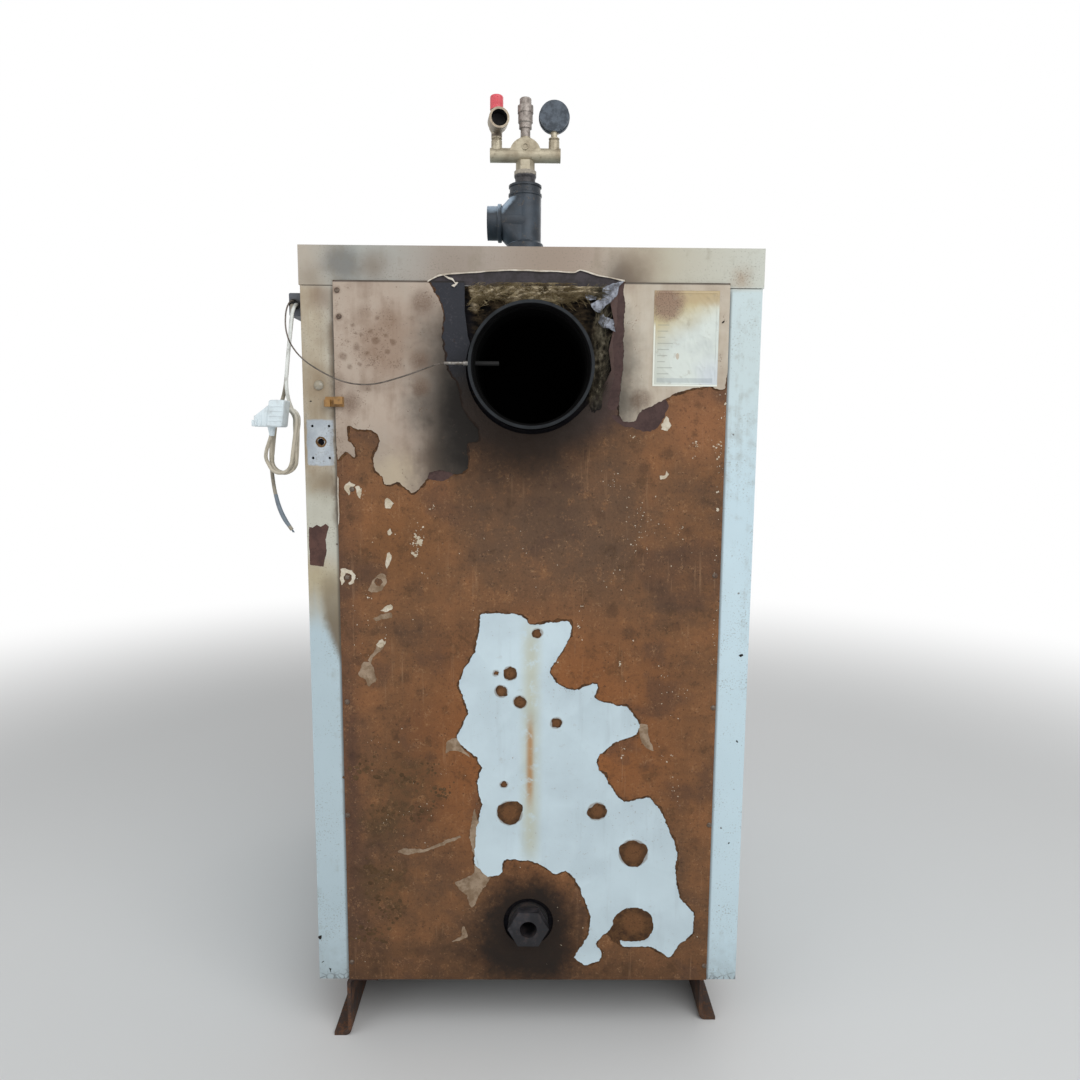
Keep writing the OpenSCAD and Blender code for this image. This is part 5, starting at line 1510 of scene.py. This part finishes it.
def torn_flap(shape, outline, out, seed):
    """Adds a crumpled flap of torn sheet that stands off the panel towards its free end."""
    part = bmesh.new()
    closed_line(part, flowing(outline, 2.5, True, 0.08), REAR_Y)
    bmesh.ops.triangle_fill(part, edges=part.edges[:], use_beauty=True, normal=BACKWARD)
    bmesh.ops.subdivide_edges(part, edges=part.edges[:], cuts=3, use_grid_fill=True)
    top = max(v.co.z for v in part.verts)
    for vert in part.verts:
        at = vert.co * 48 + Vector((seed, 0, 0))
        fold = abs(noise.noise(at)) * 1.4 + abs(noise.noise(at * 2.7)) * 0.6
        lean = min(1.0, (top - vert.co.z) / 0.03)
        vert.co.y = REAR_Y - 0.0015 - out * (0.25 + 0.55 * lean) + out * fold
        vert.co.x += 0.0012 * noise.noise(at * 3.1)
        vert.co.z += 0.0012 * noise.noise(at * 3.3)
    bmesh.ops.solidify(part, geom=part.faces[:], thickness=0.0005)
    bmesh.ops.recalc_face_normals(part, faces=part.faces[:])
    put(shape, part, (0, 0, 0))


def wool_strands():
    """Mesh of loose wool fibres in the beds round the flue, clear of the hollows."""
    chance = random.Random(11)
    curve = bpy.data.curves.new("strands", "CURVE")
    curve.dimensions = "3D"
    curve.bevel_depth = 0.0002
    curve.bevel_resolution = 0
    for (left, right), (low, high), lean, count in WOOL_BEDS:
        for i in range(count):
            x, z = chance.uniform(left, right), chance.uniform(low, high)
            heading = lean + chance.gauss(0, 0.35)
            length, bow = chance.uniform(6, 20), chance.gauss(0, 0.12)
            if bulge(x, z) < 0.35:
                continue
            depth = -433 - 5 * chance.random()
            spline = curve.splines.new("POLY")
            spline.points.add(5)
            for k, point in enumerate(spline.points):
                point.co = (x * MM, (depth - 1.6 * math.sin(k * 0.6)) * MM, z * MM, 1)
                x += math.cos(heading) * length / 5
                z = min(z + math.sin(heading) * length / 5, 1065.5)
                heading += bow + chance.gauss(0, 0.12)
                off = math.hypot(x, z - FLUE_Z / MM)
                if off < TUBE_CLEAR:
                    x *= TUBE_CLEAR / off
                    z = FLUE_Z / MM + (z - FLUE_Z / MM) * TUBE_CLEAR / off
                x = min(max(x, -89), 104)
    return curve_shape(curve)


class BOILER_OT_tear(bpy.types.Operator):
    """Makes the burnt tear over the flue: wool, flaps of sheet, scorched skirt and curled paint"""

    bl_idname = "boiler.tear"
    bl_label = "Torn sheet at the flue"

    def execute(self, context):
        fibre = finish_of("wool_fibre", wool)
        dress(fibre, "mineral_wool")
        piece("wool_tufts", wool_face(), fibre, crease=180)
        strand = finish_of("wool_strand", wool_strand)
        piece("wool_strands", wool_strands(), strand, crease=180)
        flaps = bmesh.new()
        for seed, outline in enumerate(FLAPS):
            torn_flap(flaps, outline, 0.007, seed * 3.7)
        torn = finish_of("torn_sheet", metal("8f949f", "4a4c52", 0.25, 0.5, 120.0, 0.1))
        piece("torn_flaps", flaps, torn, crease=22)
        burnt = films(ARCH + [(120, 1063), (-135, 1063)], plane=STRIP_Y, thick=0.0002, ragged=0.0004)
        piece("burnt_skirt", burnt, finish_of("burnt_paint", flat_paint("3c373b", "2c2829")))
        curl = bmesh.new()
        rows = [(0.0, 1.2), (1.0, 0.9), (2.0, 0.2), (2.6, -0.9), (2.4, -1.7)]
        line = flowing(ARCH, 3, False)
        verts = [curl.verts.new((p[0] * MM, STRIP_Y - 0.0003, p[1] * MM + rows[0][1] * MM)) for p in line]
        edges = [curl.edges.new(pair) for pair in zip(verts, verts[1:])]
        for (out, drop), (was_out, was_drop) in zip(rows[1:], rows):
            added = bmesh.ops.extrude_edge_only(curl, edges=edges)["geom"]
            edges = [g for g in added if isinstance(g, bmesh.types.BMEdge)]
            for vert in [g for g in added if isinstance(g, bmesh.types.BMVert)]:
                wave = 0.75 + 0.5 * noise.noise(Vector((vert.co.x * 45, 0, 3)))
                vert.co.y -= (out - was_out) * MM * wave
                vert.co.z += (drop - was_drop) * MM * wave
        bmesh.ops.solidify(curl, geom=curl.faces[:], thickness=0.0004)
        bmesh.ops.recalc_face_normals(curl, faces=curl.faces[:])
        for outline in (LOOSE_CURL, SEAM_CURL):
            paint_film(curl, outline, REAR_Y - 0.0012, 0.0006, 0.0004, soft=0.1)
        cream = flat_paint("cfc9bd", "a89d8e", 0.55, "6f6455")
        piece("curled_paint", curl, finish_of("curl_paint", cream), crease=70)
        return {"FINISHED"}


def label_plate():
    """Bare wrinkled plate with a thin raised border."""
    wide, high = PLATE_SIZE
    shape = upright_grid(86, 122, (PLATE[0], REAR_Y - 0.0009, PLATE[1]), wide, high)
    for vert in shape.verts:
        u, v = vert.co.x - PLATE[0], vert.co.z - PLATE[1]
        inset = min(wide / 2 - abs(u), high / 2 - abs(v))
        along, across = u * 0.5 - v * 0.87, u * 0.87 + v * 0.5
        sway = noise.noise(vert.co * 22) * 0.012
        crease = noise.noise(Vector(((across + sway) * 120, along * 45, 2.0)))
        ridge = max(0.0, 0.3 - abs(crease)) / 0.3 * (0.4 + noise.noise(vert.co * 60) * 1.2)
        region = min(1.0, max(0.0, 0.6 + u * 14 - v * 8 + 0.8 * noise.noise(vert.co * 30)))
        if inset > 0.0035:
            vert.co.y += 0.0002 - 0.0007 * ridge * region - 0.0003 * noise.noise(vert.co * 45)
        elif inset > 0.0022:
            vert.co.y -= 0.0004
    bmesh.ops.solidify(shape, geom=shape.faces[:], thickness=0.0003)
    bmesh.ops.recalc_face_normals(shape, faces=shape.faces[:])
    return shape


def plate_paint(name):
    """Off-white plate, yellowed above and scorched brown along its top."""
    f = Finish(name)
    wide = f.grain(22.0, 4, 0.55)
    middle = f.grain(110.0, 5, 0.62)
    fine = f.grain(600.0, 3, 0.6)
    f.tone = f.mix(f.ease(wide, 0.4, 0.66), "c9d1cb", "b9c1be")
    f.coat(f.ease(f.x + wide * 0.03, 0.215, 0.245) * f.ease(f.z, 0.985, 0.95) * 0.5, "b4bccb")
    f.wear(f.x, 0.19, 0.165, 0.35, "a9a895")
    f.wear(f.z + wide * 0.05 - (f.x - 0.2) * 0.5, 1.018, 1.066, 0.9, "b5a77e")
    top = f.ease(f.z + middle * 0.012, 1.04, 1.052)
    f.coat(top * 0.55, "a48b66")
    burn = f.spot(0.176, 1.042, 0.014, 0.03, middle * 0.014 - 0.006)
    f.coat(burn * 0.85, "7d6150")
    f.coat(burn * f.ease(fine, 0.5, 0.62) * 0.7, "4e3a2b")
    f.wear(middle, 0.58, 0.72, 0.35, "8c8373")
    left, low = PLATE[0] - PLATE_SIZE[0] / 2, PLATE[1] - PLATE_SIZE[1] / 2
    border = f.ease(f.x, left + 0.0026, left + 0.002).over(f.ease(f.z, low + 0.0026, low + 0.002))
    f.coat(border * f.ease(f.z, 1.02, 1.01) * 0.8, "e2e6dc")
    for row in range(9):
        reach = (0.021, 0.026, 0.016, 0.019)[row % 4]
        off = abs(f.z - (low + 0.016 + row * 0.0078))
        line = f.ease(off, 0.0008, 0.0004) * f.ease(f.x, left + 0.005, left + 0.006)
        f.coat(line * f.ease(f.x, left + reach, left + reach - 0.001) * 0.5, "7d7f77")
    bar = f.ease(f.z, low + 0.004, low + 0.005) * f.ease(f.z, low + 0.011, low + 0.01)
    bar = bar * f.ease(f.x, left + 0.005, left + 0.006) * f.ease(f.x, left + 0.079, left + 0.078)
    f.coat(bar * 0.35, "7f8b93")
    return f.done(
        roughness=0.38 + middle * 0.25, normal=f.relief(fine * 0.3 + middle * 0.7, 0.35, 0.0005)
    )


class BOILER_OT_fasteners(bpy.types.Operator):
    """Sets the screws, the dome bolt and the bare plate"""

    bl_idname = "boiler.fasteners"
    bl_label = "Fasteners and plate"

    def execute(self, context):
        steel = finish_of("screw_steel", metal("6e6257", "4c3d33", 0.5, 0.5, 300.0, 0.5, 0.0003))
        screws = bmesh.new()
        chance = random.Random(3)
        for x, z in SCREWS:
            head = turned([(0, 2.1), (1.6, 2.0), (2.9, 1.4), (3.5, 0.6), (3.6, 0), (0, 0)], 20)
            put(screws, head, (x, REAR_Y / MM, z), BACKWARD)
            slit = block((5.6, 0.8, 0.5), 0.1, 1)
            put(screws, slit, (x, REAR_Y / MM - 1.95, z), BACKWARD, chance.uniform(0, 3))
        piece("panel_screws", screws, steel)
        dome = bmesh.new()
        head = turned([(0, 5), (2.4, 4.7), (4.6, 3.6), (6, 1.9), (6.5, 0.5), (6.5, 0), (0, 0)], 28)
        put(dome, head, (-279, STRIP_Y / MM, 934), BACKWARD)
        piece("dome_bolt", dome, finish_of("dome_paint", flat_paint("b5b3aa", "98907f", 0.5)))
        piece("label_plate", label_plate(), finish_of("plate_paint", plate_paint))
        return {"FINISHED"}


class BOILER_OT_flue(bpy.types.Operator):
    """Finishes the flue, its probe and the return"""

    bl_idname = "boiler.flue"
    bl_label = "Flue and return"

    def execute(self, context):
        dress(finish_of("flue_steel", flue_steel), "flue_spigot")
        dress(finish_of("probe_steel", probe_metal), "flue_probe")
        dress(finish_of("return_soot", metal("171617", "232223", 0.2, 0.65, 70.0, 0.15)), "return_socket")
        dress(finish_of("bush_iron", metal("202024", "303136", 0.35, 0.5, 90.0, 0.2)), "return_bush")
        return {"FINISHED"}


def figures(words, size):
    """Raised figures of a dial, facing up, in millimetres."""
    curve = bpy.data.curves.new("figures", "FONT")
    curve.body = words
    curve.size = size * MM
    curve.align_x = "CENTER"
    curve.align_y = "CENTER"
    curve.resolution_u = 3
    curve.extrude = 0.05 * MM
    return curve_shape(curve)


def dial(name, centre, axis, up, radius, words, steps, reading):
    """Face, scale, figures and needle of a round gauge, facing along axis."""
    turn = Matrix((Vector(up).cross(Vector(axis)), Vector(up), Vector(axis))).transposed().to_4x4()
    lie = Matrix.Translation(Vector(centre) * MM) @ turn
    plate = turned([(0, 0.6), (radius - 0.4, 0.6), (radius, 0.2), (radius, 0), (0, 0)], 48)
    marks = bmesh.new()
    each = steps // (len(words) - 1)
    for i in range(steps + 1):
        angle = math.radians(225 - 270 * i / steps)
        long = i % each == 0
        tall = radius * (0.16 if long else 0.09)
        tick = block((radius * (0.045 if long else 0.025), tall, 0.12), 0.03, 1)
        bmesh.ops.translate(tick, vec=(0, (radius * 0.93 - tall / 2) * MM, 0), verts=tick.verts[:])
        put(marks, tick, (0, 0, 0.62), roll=angle - math.pi / 2)
        if long:
            spot = Vector((math.cos(angle), math.sin(angle), 0)) * radius * 0.62
            put(marks, figures(words[i // each], radius * 0.24), (spot.x, spot.y, 0.62))
    angle = math.radians(225 - 270 * reading)
    hand = block((radius * 0.06, radius * 0.95, 0.3), 0.08, 1)
    bmesh.ops.translate(hand, vec=(0, radius * 0.28 * MM, 0), verts=hand.verts[:])
    for vert in hand.verts:
        if vert.co.y > radius * 0.5 * MM:
            vert.co.x *= 0.3
    put(marks, hand, (0, 0, 1.2), roll=angle - math.pi / 2)
    put(marks, turned([(0, 2), (radius * 0.08, 1.8), (radius * 0.09, 0.6), (0, 0.6)], 20), (0, 0, 0))
    for shape in (plate, marks):
        bmesh.ops.transform(shape, matrix=lie, verts=shape.verts[:])
    white = finish_of("dial_face", plastic("e2e2da", "9b927c", 0.4, 0.3))
    black = finish_of("dial_ink", plastic("1d1d1e", "3a3531", 0.5, 0.3))
    piece(name + "_face", plate, white)
    piece(name + "_scale", marks, black)


class BOILER_OT_safety(bpy.types.Operator):
    """Finishes the flow tee and the safety group on it"""

    bl_idname = "boiler.safety"
    bl_label = "Flow tee and safety group"

    def execute(self, context):
        dress(finish_of("old_iron", old_iron), "flow_pipe", "flow_tee")
        dress(finish_of("bush_steel", bush_steel), "reducing_bush")
        dress(finish_of("valve_brass", valve_brass), "safety_manifold", "safety_valve")
        dress(finish_of("vent_metal", metal("9b928b", "756c66", 0.35, 0.5, 150.0)), "air_vent")
        dress(finish_of("cap_red", plastic("d2505b", "93403f", 0.4, 0.25, 110.0)), "safety_valve_cap")
        dress(finish_of("gauge_case", gauge_metal), "pressure_gauge")
        dress(finish_of("gauge_glass", glass), "gauge_glass")
        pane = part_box("gauge_glass")
        middle = (pane[0] + pane[1]) / (2 * MM)
        place = (middle.x, pane[0].y / MM - 3.1, middle.z)
        dial("gauge_dial", place, (0, 1, 0), (0, 0, 1), 19.8, ["0", "1", "2", "3", "4"], 20, 0.0)
        return {"FINISHED"}


class BOILER_OT_front(bpy.types.Operator):
    """Finishes the doors, the air box and the control panel on the front"""

    bl_idname = "boiler.front"
    bl_label = "Front"

    def execute(self, context):
        enamel = finish_of("door_enamel", metal("42464c", "35383c", 0.2, 0.5, 25.0, 0.08))
        dress(enamel, "loading_door", "lower_door", "air_box")
        black = finish_of("handle_black", metal("2b2c2f", "3b3936", 0.4, 0.45, 90.0, 0.15))
        for door in ("loading_door", "lower_door"):
            dress(black, door + "_handle", door + "_hinges")
        dress(finish_of("fascia_grey", metal("3c4146", "34373b", 0.15, 0.5, 30.0)), "control_fascia")
        dress(finish_of("bezel_bright", metal("b5b7ba", "93928f", 0.9, 0.3, 120.0)), "thermometer")
        knob = finish_of("knob_black", plastic("202022", "4a4640", 0.45, 0.3))
        dress(knob, "thermostat_knob", "power_switch")
        words = ["0", "20", "40", "60", "80", "100", "120"]
        dial("thermometer_dial", (130, 420.6, 988), (0, 1, 0), (0, 0, 1), 25.5, words, 24, 0.12)
        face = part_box("thermostat_knob")[1].y / MM
        line = bmesh.new()
        put(line, block((1.8, 0.5, 12), 0.2, 1), (0, face, 996))
        piece("knob_mark", line, finish_of("mark_white", plastic("d8d8d2", "8f8a80", 0.5)))
        return {"FINISHED"}


STEPS = (
    BOILER_OT_stage,
    BOILER_OT_cords,
    BOILER_OT_casing,
    BOILER_OT_paint,
    BOILER_OT_tear,
    BOILER_OT_fasteners,
    BOILER_OT_flue,
    BOILER_OT_safety,
    BOILER_OT_front,
)


class BOILER_PT_panel(bpy.types.Panel):
    """Lists the steps and their settings"""

    bl_idname = "BOILER_PT_panel"
    bl_label = "Weathered boiler"
    bl_space_type = "VIEW_3D"
    bl_region_type = "UI"
    bl_category = "Boiler"

    def draw(self, context):
        for step in STEPS:
            self.layout.operator(step.bl_idname)
        for name in GROUPS:
            part = self.layout.box()
            settings = getattr(context.scene, name)
            for key in settings.__annotations__:
                part.prop(settings, key)


GROUPS = {
    "boiler_stage": StageSettings,
    "boiler_casing": CasingSettings,
    "boiler_cords": CordSettings,
    "boiler_fittings": FittingSettings,
}


def register():
    """Adds the settings, the steps and the panel."""
    for name, group in GROUPS.items():
        bpy.utils.register_class(group)
        setattr(bpy.types.Scene, name, PointerProperty(type=group))
    for made in STEPS + (BOILER_PT_panel,):
        bpy.utils.register_class(made)


def unregister():
    """Takes the panel, the steps and the settings away again."""
    for made in reversed(STEPS + (BOILER_PT_panel,)):
        bpy.utils.unregister_class(made)
    for name, group in GROUPS.items():
        delattr(bpy.types.Scene, name)
        bpy.utils.unregister_class(group)


def main():
    register()
    bpy.ops.boiler.stage()
    bpy.ops.boiler.cords()
    bpy.ops.boiler.casing()
    bpy.ops.boiler.paint()
    bpy.ops.boiler.tear()
    bpy.ops.boiler.fasteners()
    bpy.ops.boiler.flue()
    bpy.ops.boiler.safety()
    bpy.ops.boiler.front()


if __name__ == "__main__":
    main()
